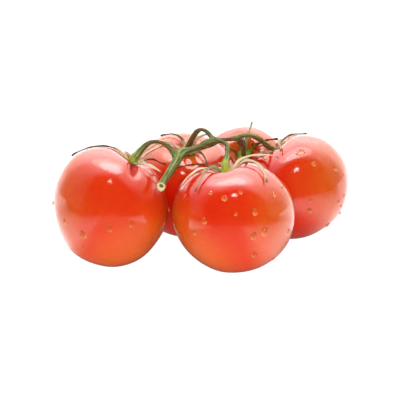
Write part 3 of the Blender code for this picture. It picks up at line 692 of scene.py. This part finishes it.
def strand_field(route, low, shape):
    """Each grid point's distance from a strand's surface, negative inside."""
    field = np.full(shape, STEM_REACH, np.float32)
    for *place, radius, _ in route:
        part, (x, y, z) = window(low, np.array(place), radius + STEM_REACH, shape)
        np.minimum(field[part], np.sqrt(x**2 + y**2 + z**2) - radius, out=field[part])
    return field


def blend_fields(first, second, width):
    """The lesser of two fields, with a smooth fillet where they meet."""
    share = np.clip(0.5 + 0.5 * (second - first) / width, 0, 1)
    return second + (first - second) * share - width * share * (1 - share)


def cut_field(field, low, face, ahead):
    """The field with the stem's near end sliced off, its face a little hollow."""
    part, off = window(low, face, CUT_REACH, field.shape)
    spots = np.stack(np.broadcast_arrays(*off), -1)
    depth = spots @ ahead
    off_axis = np.linalg.norm(spots - depth[..., None] * ahead, axis=-1)
    hollow = CUT_HOLLOW * bump(off_axis, 1.1) + 0.10 * np.cos(off_axis * 5.0)
    np.maximum(field[part], hollow - depth, out=field[part])
    return field


CORNERS = [(i, j, k) for i in (0, 1) for j in (0, 1) for k in (0, 1)]
CELL_EDGES = [(a, b) for a in range(8) for b in range(a + 1, 8) if sum(
    abs(p - q) for p, q in zip(CORNERS[a], CORNERS[b])) == 1]


def surface_net(field, low, step):
    """The surface where a field is 0, with one point in each cell that it crosses."""
    cells = tuple(n - 1 for n in field.shape)
    inside = field < 0
    corner = [inside[i:i + cells[0], j:j + cells[1], k:k + cells[2]] for i, j, k in CORNERS]
    count = sum(part.astype(np.int8) for part in corner)
    where = np.argwhere((count > 0) & (count < 8))
    values = np.stack([field[tuple((where + offset).T)] for offset in CORNERS], -1)
    total, hits = np.zeros((len(where), 3)), np.zeros(len(where))
    for a, b in CELL_EDGES:
        crossed = (values[:, a] < 0) != (values[:, b] < 0)
        share = np.where(crossed, values[:, a] / np.where(crossed, values[:, a] - values[:, b], 1), 0)
        spot = np.array(CORNERS[a]) + share[:, None] * (np.array(CORNERS[b]) - np.array(CORNERS[a]))
        total += np.where(crossed[:, None], spot, 0)
        hits += crossed
    points = low + step * (where + total / hits[:, None])
    index = np.full(cells, -1, np.int32)
    index[tuple(where.T)] = np.arange(len(where))
    quads = []
    for axis in range(3):
        order = (axis, (axis + 1) % 3, (axis + 2) % 3)
        near, ids = (np.moveaxis(grid, order, (0, 1, 2)) for grid in (inside, index))
        a, b, c = np.argwhere(near[:-1, 1:-1, 1:-1] != near[1:, 1:-1, 1:-1]).T
        quad = np.stack([ids[a, b, c], ids[a, b + 1, c], ids[a, b + 1, c + 1], ids[a, b, c + 1]], -1)
        quads.append(np.where(near[a, b + 1, c + 1][:, None], quad, quad[:, ::-1]))
    return points, np.vstack(quads)


def relaxed(points, quads, rounds, strength):
    """The points after rounds of moving each towards its neighbours."""
    ends = np.concatenate([quads[:, [0, 1]], quads[:, [1, 2]], quads[:, [2, 3]], quads[:, [3, 0]]])
    ends = np.concatenate([ends, ends[:, ::-1]])
    for _ in range(rounds):
        total = np.zeros_like(points)
        count = np.zeros(len(points))
        np.add.at(total, ends[:, 0], points[ends[:, 1]])
        np.add.at(count, ends[:, 0], 1)
        points = points + strength * (total / count[:, None] - points)
    return points


def mesh_normals(points, quads):
    """The outward direction at each point of a mesh of quads."""
    across = np.cross(points[quads[:, 2]] - points[quads[:, 0]], points[quads[:, 3]] - points[quads[:, 1]])
    total = np.zeros_like(points)
    for corner in range(4):
        np.add.at(total, quads[:, corner], across)
    return unit(total)


def along_strands(points, routes):
    """Each point's tone, its angle round its strand and place along it, and how clear of forks it is."""
    best, second = np.full((2, len(points)), 1e9)
    found = np.zeros((3, len(points)))
    for route in routes:
        centre = route[:, :3]
        ahead = unit(np.gradient(centre, axis=0))
        side = [unit(np.cross(ahead[0], (0.3, 0.5, 1.0)))]
        for direction in ahead[1:]:
            side.append(unit(side[-1] - direction * (side[-1] @ direction)))
        side = np.array(side)
        other = np.cross(ahead, side)
        gap, pick = nearest(points, centre, route[:, 3])
        off = points - centre[pick]
        angle = np.arctan2((off * other[pick]).sum(-1), (off * side[pick]).sum(-1))
        closer = gap < best
        second = np.where(closer, best, np.minimum(second, gap))
        best = np.where(closer, gap, best)
        found = np.where(closer, (route[pick, 4], angle, walked_along(centre)[pick]), found)
    return *found, smooth_step(second - best, *FORK_CLEAR)


def torn(points, face, ahead, depth, off_axis):
    """The stem's points with a torn rim at its cut end, drawn out below."""
    down = unit(TORN_DOWN - ahead * (TORN_DOWN @ ahead))
    side = np.cross(ahead, down)
    off = points - face
    turn = np.degrees(np.arctan2(off @ side, off @ down))
    near = (1 - smooth_step(depth, 0.2, 2.2)) * (depth > -2) * smooth_step(off_axis, 0.8, 2.2) * (off_axis < 4)
    ragged = 0.16 * np.cos(np.radians(7 * turn)) + 0.14 * np.cos(np.radians(11 * turn + 60))
    tip = TORN_TIP * bump(turn, 38)
    radial = unit(off - (off @ ahead)[:, None] * ahead + 1e-9)
    return points + near[:, None] * (radial * (TORN_FLARE + tip)[:, None] - ahead * (0.5 * tip + ragged)[:, None])


def make_stem(material):
    """The stem: strands that flow into each other, with ridges and a sliced end."""
    routes = stem_routes()
    every = np.vstack(routes)[:, :3]
    margin = STEM_REACH + STEM_MARGIN
    low = every.min(0) - margin
    shape = tuple(((every.max(0) + margin - low) / STEM_STEP).astype(int) + 2)
    field = strand_field(routes[0], low, shape)
    for route in routes[1:]:
        field = blend_fields(field, strand_field(route, low, shape), STEM_BLEND)
    face = routes[0][0, :3]
    ahead = unit(routes[0][4, :3] - face)
    points, quads = surface_net(cut_field(field, low, face, ahead), low, STEM_STEP)
    points = relaxed(points, quads, *STEM_RELAXING)
    outward = mesh_normals(points, quads)
    tone, angle, walked, clear = along_strands(points, routes)
    depth = (points - face) @ ahead
    off_axis = np.linalg.norm(points - face - depth[:, None] * ahead, axis=1)
    near_cut = np.linalg.norm(points - face, axis=1) < CUT_REGION
    sliced = np.where(near_cut, smooth_step(-(outward @ ahead), *SLICED_FROM), 0)
    ridge = np.cos(RIDGE_COUNT * angle + 0.12 * walked) + 0.4 * np.cos(3 * RIDGE_COUNT * angle - 0.2 * walked)
    fibre = np.cos(9 * angle + 1.3 * np.sin(0.5 * walked)) + np.cos(13 * angle - 1.7 * np.sin(0.37 * walked + 1))
    relief = RIDGE_HEIGHT * (0.25 + 0.75 * clear) * (ridge - 0.6) * 0.5
    relief += 0.05 * waves(points, SEED + 21, *FINE_BUMPS) + 0.08 * waves(points, SEED + 22, *COARSE_BUMPS)
    points = torn(points + outward * (relief * (1 - sliced))[:, None], face, ahead, depth, off_axis)
    # under: painted shade, from 0 to 1, on each strand's lower right side, and on its right side further back.
    behind = smooth_step(points[:, 1], *BEHIND)
    under = smooth_step(outward @ SHADED_SIDE, -0.15, 0.8) * (1 - behind)
    under = under + smooth_step(outward[:, 0], -0.1, 0.7) * behind
    facts = {"tone": tone, "under": under, "ridge": ridge * clear, "fibre": fibre, "sliced": sliced, "pith": off_axis}
    return write_mesh("stem_strands", points, quads, material, facts), points, outward, sliced


def make_hairs(points, outward, sliced, material):
    """Short fine hairs all over the stem, each a three-sided spike."""
    draw = np.random.RandomState(SEED)
    roots = draw.choice(np.flatnonzero(sliced < 0.1), HAIR_COUNT, replace=False)
    start = points[roots]
    lean = unit(outward[roots] + HAIR_SPREAD * draw.normal(size=(HAIR_COUNT, 3)))
    length = draw.uniform(*HAIR_LENGTH, HAIR_COUNT)
    side = unit(np.cross(lean, draw.normal(size=(HAIR_COUNT, 3))))
    other = np.cross(lean, side)
    corners = [
        start - HAIR_SUNK * lean + HAIR_RADIUS * (math.cos(turn) * side + math.sin(turn) * other)
        for turn in (0, 2 * math.pi / 3, 4 * math.pi / 3)
    ]
    tips = start + lean * length[:, None]
    high = np.array(CAD_BOX[1]) / MM
    kept = np.flatnonzero((tips < high - 0.02).all(1))
    spikes = np.stack([*corners, tips], 1)[kept]
    first = 4 * np.arange(len(kept))[:, None]
    faces = np.vstack([first + face for face in ((0, 1, 3), (1, 2, 3), (2, 0, 3), (0, 2, 1))])
    return write_mesh("stem_hairs", spikes.reshape(-1, 3), faces, material)


# Water drops

def image_points(points):
    """Where points of the truss fall in the photograph's frame."""
    down = math.radians(CAMERA_DOWN)
    ahead = np.array([0, math.cos(down), -math.sin(down)])
    up = np.array([0, math.sin(down), math.cos(down)])
    off = points - np.array(CAMERA_PLACE)
    depth = off @ ahead
    middle = IMAGE_SIDE / 2
    return np.stack([middle + CAMERA_FOCAL * off[:, 0] / depth, middle - CAMERA_FOCAL * (off @ up) / depth], -1)


def drop_shape(centre, outward, width, draw):
    """One drop: a low dome that sags, sunk a little into the skin."""
    down = unit(np.array([0, 0, -1.0]) + outward * outward[2])
    side = np.cross(outward, down)
    share = np.linspace(0, 1, DROP_RINGS + 1)[1:, None]
    turn = (2 * math.pi * np.arange(DROP_SPOKES) / DROP_SPOKES)[None, :]
    outline = 1 + 0.10 * np.cos(2 * turn + draw.uniform(0, 6)) + 0.05 * np.cos(3 * turn + draw.uniform(0, 6))
    sag = 1.1 * (1 - abs(outward[2]))
    x = width / 2 * share * outline * np.cos(turn) * (1 + 0.12 * sag)
    y = width / 2 * share * outline * np.sin(turn) * 0.94
    dome = np.sqrt(np.clip(1 - share**2, 0, 1)) ** 1.15
    height = width * DROP_HEIGHT * dome * (1 + 0.35 * sag * share * np.cos(turn))
    level = -(x**2 + y**2) / (2 * DROP_BED)

    def sheet(lift):
        return centre + x[..., None] * down + y[..., None] * side + (level + lift)[..., None] * outward

    skirt = sheet(0 * height - DROP_SUNK)[-1:]
    rings = np.concatenate([sheet(height), skirt]).reshape(-1, 3)
    points = np.vstack([rings, centre + outward * width * DROP_HEIGHT, centre - outward * DROP_SUNK])
    # lens: from 0 at a drop's upper edge to 1 at its lower edge, for its painted shade above and painted light below.
    lens = 0.5 + 0.5 * np.cos(turn) * share
    brim = np.broadcast_to(share, lens.shape)
    lens, brim = (np.append(values.ravel(), [*values[-1], end, end]) for values, end in ((lens, 0.5), (brim, 0.0)))
    return points, tipped_rings(DROP_RINGS + 1, DROP_SPOKES), lens, brim


def make_drops(fruit, number, material):
    """One fruit's drops: those in the photograph, and others on its far sides."""
    grid, outward, reach, _ = fine_skin(fruit, number)
    points = into_truss(fruit, grid.reshape(-1, 3))
    directions = outward.reshape(-1, 3) @ axis_turn(fruit).T
    facing = (directions * unit(np.array(CAMERA_PLACE) - points)).sum(-1)
    spots = image_points(points)
    draw = np.random.RandomState(SEED + 40 + number)
    chosen = []
    for column, row, width in DROPS.get(fruit.name, ()):
        miss = np.hypot(spots[:, 0] - column, spots[:, 1] - row) + np.where(facing > 0.02, 0, FAR)
        chosen.append((miss.argmin(), width))
    low, high = np.array(CAD_BOX) / MM
    inside = ((points > low + DROP_ROOM) & (points < high - DROP_ROOM)).all(1)
    hidden = np.flatnonzero((facing < -0.1) & inside & (points[:, 2] > DROP_LOWEST) & (reach.ravel() > DROP_INNER))
    for pick in draw.choice(hidden, SCATTER_COUNT[fruit.name], replace=False):
        chosen.append((pick, draw.uniform(*SCATTER_WIDTH)))
    drops = [drop_shape(points[pick], directions[pick], width, draw) for pick, width in chosen]
    shapes, sides, lenses, brims = zip(*drops)
    size = len(shapes[0])
    faces = [[corner + size * place for corner in face] for place, each in enumerate(sides) for face in each]
    facts = {"lens": np.concatenate(lenses), "brim": np.concatenate(brims)}
    return write_mesh(f"drops_{fruit.name}", np.vstack(shapes), faces, material, facts)


# Materials

def arithmetic(operation, swapped=False):
    """A method of Value that does its sum by a node."""
    def method(self, other=0.0):
        inputs = {0: other, 1: self} if swapped else {0: self, 1: other}
        return self.nodes.value("ShaderNodeMath", 0, inputs, operation=operation)
    return method


class Value:
    """A node's output, with which sums are written as usual."""

    def __init__(self, nodes, socket):
        self.nodes = nodes
        self.socket = socket

    __add__ = __radd__ = arithmetic("ADD")
    __sub__, __rsub__ = arithmetic("SUBTRACT"), arithmetic("SUBTRACT", True)
    __mul__ = __rmul__ = arithmetic("MULTIPLY")
    __truediv__ = arithmetic("DIVIDE")
    __pow__ = arithmetic("POWER")
    __abs__ = arithmetic("ABSOLUTE")
    at_least = arithmetic("MAXIMUM")

    def between(self, low, high, to_low=0.0, to_high=1.0):
        """The value led smoothly from one range to another."""
        inputs = {0: self, 1: low, 2: high, 3: to_low, 4: to_high}
        return self.nodes.value("ShaderNodeMapRange", 0, inputs, interpolation_type="SMOOTHSTEP")


class Nodes:
    """A node tree that is built a line at a time."""

    def __init__(self, tree, place):
        self.tree = tree
        self.place = self.value("ShaderNodeTexCoord", place)

    def value(self, kind, output, inputs=None, **settings):
        """An output of a new node."""
        made = self.tree.nodes.new(kind)
        for key, value in settings.items():
            setattr(made, key, value)
        for key, value in (inputs or {}).items():
            self.feed(made.inputs[key], value)
        return Value(self, made.outputs[output])

    def feed(self, socket, value):
        if isinstance(value, Value):
            self.tree.links.new(value.socket, socket)
        else:
            socket.default_value = (*value, 1.0) if socket.type == "RGBA" else value

    def split(self):
        """The place's three numbers."""
        return [self.value("ShaderNodeSeparateXYZ", axis, {0: self.place}) for axis in "XYZ"]

    def ray(self, kind):
        """Whether a ray is of this kind."""
        return self.value("ShaderNodeLightPath", f"Is {kind} Ray")

    def mix(self, share, first, second):
        """Two colours mixed."""
        return self.value("ShaderNodeMix", 2, {"Factor": share, 6: first, 7: second}, data_type="RGBA")


class Finish(Nodes):
    """A material, whose colour is painted on in layers."""

    def __init__(self, name, colour):
        self.material = bpy.data.materials.new(name)
        self.material.use_nodes = True
        super().__init__(self.material.node_tree, "Object")
        self.colour = colour

    def noise(self, scale, detail=3.0, rough=0.5):
        """A noise with this many features in a metre."""
        inputs = {"Vector": self.place, "Scale": scale, "Detail": detail, "Roughness": rough}
        return self.value("ShaderNodeTexNoise", "Fac", inputs)

    def spots(self, scale):
        """The distance to the nearest of many scattered spots."""
        return self.value("ShaderNodeTexVoronoi", "Distance", {"Vector": self.place, "Scale": scale})

    def stored(self, label):
        """A number stored at the mesh's points."""
        return self.value("ShaderNodeAttribute", "Fac", attribute_name=label)

    def paint(self, share, colour):
        """Lays a colour over the others, as thickly as the share says."""
        self.colour = self.mix(share, self.colour, colour)

    def relief(self, height, distance):
        """The surface's direction on this height, which is a share of a distance."""
        return self.value("ShaderNodeBump", "Normal", {"Height": height, "Distance": distance, "Strength": 1.0})

    def done(self, **inputs):
        """The material, with this at its shader's sockets."""
        shader = self.tree.nodes["Principled BSDF"]
        for key, value in {"Base_Color": self.colour, **inputs}.items():
            self.feed(shader.inputs[key.replace("_", " ")], value)
        return self.material


def distance(x, y):
    """How far off the middle a place is."""
    return (x * x + y * y) ** 0.5


RIPE_RED = (0.60, 0.0115, 0.0025)
ORANGE_RED = (0.63, 0.110, 0.010)
DEEP_RED = (0.53, 0.009, 0.0025)
CREASE_SHADE_RED = (0.42, 0.008, 0.003)
SPECK_COLOUR = (0.70, 0.09, 0.02)
CAVITY_COLOUR = (0.40, 0.12, 0.02)
SCAR_COLOUR = (0.20, 0.09, 0.03)
SEPAL_GREEN = (0.15, 0.31, 0.022)
SEPAL_STRAW = (0.84, 0.66, 0.45)
SEPAL_BROWN = (0.110, 0.035, 0.010)
DISC_GREEN = (0.36, 0.48, 0.04)
STEM_LIME = (0.41, 0.48, 0.17)
STEM_OLIVE = (0.125, 0.165, 0.042)
# STEM_DARK: the stem's dark purplish tone, and also its painted shade.
STEM_DARK = (0.140, 0.066, 0.021)
STEM_SPECK = (0.030, 0.050, 0.010)
FOOT_LIME = (0.42, 0.50, 0.045)
WATER_SHADED_RED = (0.52, 0.11, 0.015)
WATER_LIT_ORANGE = (0.95, 0.42, 0.15)
CUT_BEIGE = (0.72, 0.62, 0.36)
CUT_PITH = (0.12, 0.11, 0.03)
HAIR_GREEN = (0.28, 0.34, 0.08)
HAIR_PALE = (0.46, 0.48, 0.18)
TABLE_GREYS = ((0.10, 0.10, 0.10), (0.11, 0.11, 0.11))
# TABLE_WARM: the warm tint of the table's painted glow, except where it is seen and at its sides.
TABLE_WARM = (1.0, 0.92, 0.78)
WHITE = (1.0, 1.0, 1.0)


def skin_finish():
    """Ripe skin: red to orange in soft patches, finely flecked and glossy, with painted shade down its creases."""
    finish = Finish("ripe_skin", RIPE_RED)
    patches = finish.noise(38.0, 2.0).between(0.35, 0.68)
    finish.paint(patches * 0.12 + finish.stored("blush") * 0.9, ORANGE_RED)
    finish.paint(finish.noise(420.0, 4.0, 0.6).between(0.45, 0.75) * 0.22, DEEP_RED)
    finish.paint(finish.spots(620.0).between(0.22, 0.05) * 0.16, SPECK_COLOUR)
    in_cavity = finish.stored("cavity").between(9.0, 2.5)
    finish.paint(in_cavity * (finish.noise(300.0, 2.0) + 0.1), CAVITY_COLOUR)
    finish.paint(finish.stored("scar").between(1.9, 0.8), SCAR_COLOUR)
    # Painted shade down the creases, where the skin also shines less.
    crease = finish.stored("crease").between(0.42, 0.6)
    finish.paint(crease * 0.85, CREASE_SHADE_RED)
    pores = finish.noise(1500.0, 2.0) * 0.35
    return finish.done(
        Subsurface_Weight=0.6, Subsurface_Radius=(1.0, 0.12, 0.05), Subsurface_Scale=0.009, IOR=1.47,
        Roughness=finish.noise(160.0).between(0.3, 0.7, 0.08, 0.12) + crease * 0.25,
        Specular_IOR_Level=crease.between(0.0, 0.8, 0.5, 0.04),
        Normal=finish.relief(pores + finish.noise(210.0, 2.0), 0.00006),
    )


def calyx_finish():
    """Sepals: green at the root, straw to brown outwards, with dark tips, and dark edges painted partly as shade,
    partly as dried edges.
    """
    finish = Finish("dry_sepal", SEPAL_GREEN)
    along, edge, dry = finish.stored("along"), finish.stored("edge"), finish.stored("dry")
    blotches = finish.noise(700.0, 4.0, 0.6)
    drying = (along + blotches * 0.3 + dry * 0.35).between(0.3, 0.8)
    finish.paint(drying * dry, SEPAL_STRAW)
    veins = finish.noise(2600.0, 2.0).between(0.4, 0.7)
    finish.paint(veins * dry.between(0.5, 1.0, 0.25, 0.05), SEPAL_GREEN)
    outer = (along + blotches * 0.3).between(0.3, 0.6)
    finish.paint(outer * finish.stored("dark"), SEPAL_BROWN)
    # Dark edges: partly painted shade, partly dried edges.
    rim = edge.between(0.3, 0.65) + edge.between(-0.7, -0.95, 0.0, 0.6)
    finish.paint(rim * along.between(0.12, 0.35) * 0.9, SEPAL_BROWN)
    finish.paint(along.between(0.86, 0.98) * 0.85, SEPAL_BROWN)
    finish.paint(along.between(0.18, 0.0) * dry.between(0.7, 1.0, 0.9, 0.25), DISC_GREEN)
    return finish.done(
        Subsurface_Weight=0.1, Subsurface_Radius=(0.6, 0.8, 0.3), Subsurface_Scale=0.001,
        Specular_IOR_Level=0.04, Roughness=blotches.between(0.3, 0.7, 0.5, 0.72),
        Normal=finish.relief(finish.noise(2200.0), 0.00012),
    )


def stem_finish():
    """The stem: lime on olive, purplish where it arches, with painted shade on its lower and right sides and down its
    grooves, beige where it is cut.
    """
    finish = Finish("haired_stem", STEM_LIME)
    tone, pith = finish.stored("tone"), finish.stored("pith")
    uneven = finish.noise(260.0, 4.0, 0.6)
    speckle = finish.noise(1300.0, 4.0, 0.65).between(0.35, 0.65)
    # groove and under add painted shade: darker down the grooves between the ridges, and on each strand's shaded
    # side.
    groove = finish.stored("ridge").between(0.6, -0.9)
    shade = tone + (uneven - 0.5) * 0.6 + groove * 0.45 + finish.stored("under") * 0.8
    finish.paint(shade.between(0.0, 0.5), STEM_OLIVE)
    finish.paint(shade.between(0.45, 1.0), STEM_DARK)
    finish.paint(speckle * 0.35, STEM_SPECK)
    fibre = finish.stored("fibre") * (uneven + 0.2)
    finish.paint(fibre.between(0.3, 1.1, 0.0, 0.55), STEM_LIME)
    finish.paint(fibre.between(-0.3, -1.1, 0.0, 0.6), STEM_SPECK)
    finish.paint(tone.between(0.12, 0.0) * 0.7, FOOT_LIME)
    finish.paint(finish.spots(1100.0).between(0.25, 0.08) * 0.35, STEM_LIME)
    rind = finish.mix((pith + uneven).between(2.1, 2.7, 0.0, 0.6), CUT_BEIGE, STEM_LIME)
    cut = finish.mix((pith + speckle * 0.4).between(1.5, 1.15), rind, CUT_PITH)
    grain = finish.noise(1800.0).between(0.4, 0.7)
    finish.paint(finish.stored("sliced"), finish.mix(grain * 0.3, cut, CUT_PITH))
    return finish.done(
        Subsurface_Weight=0.05, Subsurface_Radius=(0.5, 0.8, 0.3), Subsurface_Scale=0.001,
        Specular_IOR_Level=0.12, Roughness=uneven.between(0.3, 0.7, 0.5, 0.7),
        Normal=finish.relief(finish.noise(1700.0, 4.0), 0.0002),
    )


def hair_finish():
    """Hairs: pale and uneven in colour."""
    finish = Finish("stem_hair", HAIR_GREEN)
    finish.paint(finish.noise(900.0), HAIR_PALE)
    return finish.done(Roughness=0.5)


def water_finish():
    """Water on red skin: clear in the middle, with painted shade above and painted light below."""
    finish = Finish("clear_water", WATER_SHADED_RED)
    # Painted light through the drop: lighter towards its lower edge, darker towards its upper edge.
    lens = finish.stored("lens") + finish.noise(900.0) * 0.15
    finish.paint(lens.between(0.25, 0.95), WATER_LIT_ORANGE)
    return finish.done(Roughness=0.03, IOR=1.333, Alpha=finish.stored("brim").between(0.2, 1.0, 0.2, 0.55))


def floor_finish():
    """A pale table that glows, as painted light: less under and between the fruits, as painted shadows, and less far
    off, more beside them.
    """
    finish = Finish("pale_table", TABLE_GREYS[0])
    finish.paint(finish.noise(2.0), TABLE_GREYS[1])
    x, y, _ = finish.split()
    aside = abs(x - TABLE_MIDDLE).between(*TABLE_SIDES)
    glow = y.between(*TABLE_FADE, TABLE_FRONT_LIGHT, TABLE_LIGHT)
    glow = glow * (aside * SIDE_GLOW * finish.ray("Glossy") + 1.0)
    near = distance(x, y).between(*TABLE_FAR, 1.0, TABLE_FAR_LIGHT)
    glow = glow * near.at_least(y.between(*TABLE_BACK))
    # Painted shadows on the glow, under each fruit and at the gaps between them.
    for across, back, *_ in [fruit.place for fruit in FRUITS] + list(TABLE_GAPS):
        away = distance(x - across * MM, y - back * MM)
        glow = glow * away.between(*TABLE_SHADE, LEAST_SHADE, 1.0)
    seen = finish.ray("Camera")
    return finish.done(
        Roughness=0.8, Specular_IOR_Level=0.0, Emission_Strength=glow.at_least(seen),
        Emission_Color=finish.mix(seen.at_least(aside), TABLE_WARM, WHITE),
    )


# Stage

FRONT_LIGHT = 0.06  # the brightness of each side of the studio
LEFT_LIGHT = 0.5
RIGHT_LIGHT = 0.6
BACK_LIGHT = 2.0
CEILING_LIGHT = 3.2
LEFT_WALL = (-0.62, -0.46)  # where each side begins and is full, from -1 in front to 1 at the back
RIGHT_WALL = (-0.5, 0.0)
BACK_WALL = (0.1, 0.7)
CEILING_EDGE = (0.3, 0.8)  # how far up the ceiling begins, and how far from the front
CEILING_FRONT = (-0.35, 0.0)
CEILING_SIDES = (0.3, 0.75)  # how far aside the ceiling starts to be dimmer, and is dimmest
CEILING_DIM = 0.45
STUDIO_TINT = (1.0, 0.95, 0.92)
BACKDROP_LIGHT = 1.1
WORLD_FILL = 0.2  # how much of the walls' light lightens, while all of it shines
TABLE_LIGHT = 1.05
TABLE_FRONT_LIGHT = 0.12
TABLE_FAR_LIGHT = 0.03
TABLE_FADE = (-0.34, -0.20)  # where the table is dark, and bright
TABLE_FAR = (0.04, 0.40)  # how far off it starts to be dimmer, and is dimmest
TABLE_BACK = (-0.12, 0.06)  # but not behind here
# Painted shadows on the table's glow: round each fruit's middle, and at the places between them below.
TABLE_SHADE = (0.006, 0.052)  # distances from a fruit's middle where it is dark, and bright
TABLE_GAPS = ((47.0, -34.0), (-20.0, -40.0))  # places between the fruits, in millimetres, that are dark too
LEAST_SHADE = 0.12
TABLE_MIDDLE = -0.026  # beside this line it shines more, at these distances
TABLE_SIDES = (0.048, 0.076)
SIDE_GLOW = 1.6
FLOOR_REACH = 6000.0  # this and the next are millimetres again
FLOOR_HEIGHT = -0.15
LAMP_TARGET = (0.0, 0.0, 0.03)
# Name, place, size, brightness and what each lamp is kept out of: the soft ones only shine, the fills only lighten.
LAMPS = (
    ("soft_middle", (0.0, -0.025, 0.36), (0.22, 0.13), 6.0, "diffuse"),
    ("soft_edge", (0.0, 0.01, 0.37), (0.34, 0.22), 3.4, "diffuse"),
    ("bare_bulb", (-0.01, -0.23, 0.33), (0.044, 0.044), 26.0, None),
    ("front_fill", (0.0, -0.75, 0.22), (0.24, 0.24), 28.5, "glossy"),
    ("table_fill", (0.0, 0.0, -0.0001), (0.9, 0.9), 0.45, "glossy"),
)


def make_floor(material):
    """A wide plain floor just under the truss."""
    corners = [(x * FLOOR_REACH, y * FLOOR_REACH, FLOOR_HEIGHT) for x, y in ((-1, -1), (1, -1), (1, 1), (-1, 1))]
    floor = write_mesh("floor", corners, [(0, 1, 2, 3)], material)


def make_camera():
    """The camera at the photograph's viewing angle."""
    lens = bpy.data.cameras.new("camera")
    lens.sensor_width = SENSOR
    lens.lens = CAMERA_FOCAL * SENSOR / IMAGE_SIDE
    lens.clip_start = 0.01
    camera = link("camera", lens)
    camera.location = [number * MM for number in CAMERA_PLACE]
    camera.rotation_euler = (math.radians(90 - CAMERA_DOWN), 0, 0)
    bpy.context.scene.camera = camera


def make_lamp(name, place, size, radiance, kept_out):
    """A round or oval lamp aimed at the truss, of this brightness seen head-on."""
    lamp = bpy.data.lights.new(name, "AREA")
    lamp.shape = "ELLIPSE"
    lamp.size, lamp.size_y = size
    lamp.energy = radiance * math.pi * math.pi / 4 * size[0] * size[1]
    thing = link(name, lamp)
    thing.location = place
    thing.visible_camera = False
    thing.visible_diffuse = kept_out != "diffuse"
    thing.visible_glossy = kept_out != "glossy"
    thing.rotation_euler = (Vector(LAMP_TARGET) - Vector(place)).to_track_quat("-Z", "Y").to_euler()


def make_world():
    """A studio: white walls beside and behind, a pale ceiling, and dark in front."""
    world = bpy.data.worlds.new("studio")
    world.use_nodes = True
    nodes = Nodes(world.node_tree, "Generated")
    x, y, z = nodes.split()
    away = y / distance(x, y).at_least(0.001)
    left = away.between(*LEFT_WALL, FRONT_LIGHT, LEFT_LIGHT)
    right = away.between(*RIGHT_WALL, FRONT_LIGHT, RIGHT_LIGHT)
    side = x.between(-0.12, 0.12)
    walls = right * side + left * (1.0 - side) + away.between(*BACK_WALL, 0.0, BACK_LIGHT)
    ceiling = z.between(*CEILING_EDGE) * y.between(*CEILING_FRONT)
    ceiling = ceiling * abs(x).between(*CEILING_SIDES, 1.0, CEILING_DIM)
    total = walls + ceiling * CEILING_LIGHT
    total = total * nodes.ray("Diffuse").between(0.0, 1.0, 1.0, WORLD_FILL)
    shader = nodes.tree.nodes["Background"]
    nodes.feed(shader.inputs["Color"], STUDIO_TINT)
    nodes.feed(shader.inputs["Strength"], total.at_least(nodes.ray("Camera") * BACKDROP_LIGHT))
    bpy.context.scene.world = world


def dress(piece, slot, *nodes):
    """Lets a piece ride on the truss and hides the plain nodes it stands for; its slot is not used."""
    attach(piece, "root")
    if nodes:
        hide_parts(*nodes)


def make_truss():
    """Every piece of the truss."""
    skin, sepal, water = skin_finish(), calyx_finish(), water_finish()
    for number, fruit in enumerate(FRUITS):
        dress(make_skin(fruit, number, skin), "tomato_skin", f"tomato_{fruit.name}")
        dress(make_calyx(fruit, sepal), "calyx_green", f"calyx_{fruit.name}")
        dress(make_drops(fruit, number, water), None)
    stem, points, outward, sliced = make_stem(stem_finish())
    dress(stem, "stem_green", "stem")
    dress(make_hairs(points, outward, sliced, hair_finish()), "stem_green")


def write_sizes():
    """Brings the scene's objects up to date."""
    bpy.context.view_layer.update()


make_truss()
make_floor(floor_finish())
make_camera()
for each in LAMPS:
    make_lamp(*each)
make_world()
bpy.context.scene.view_settings.view_transform = "Standard"
write_sizes()
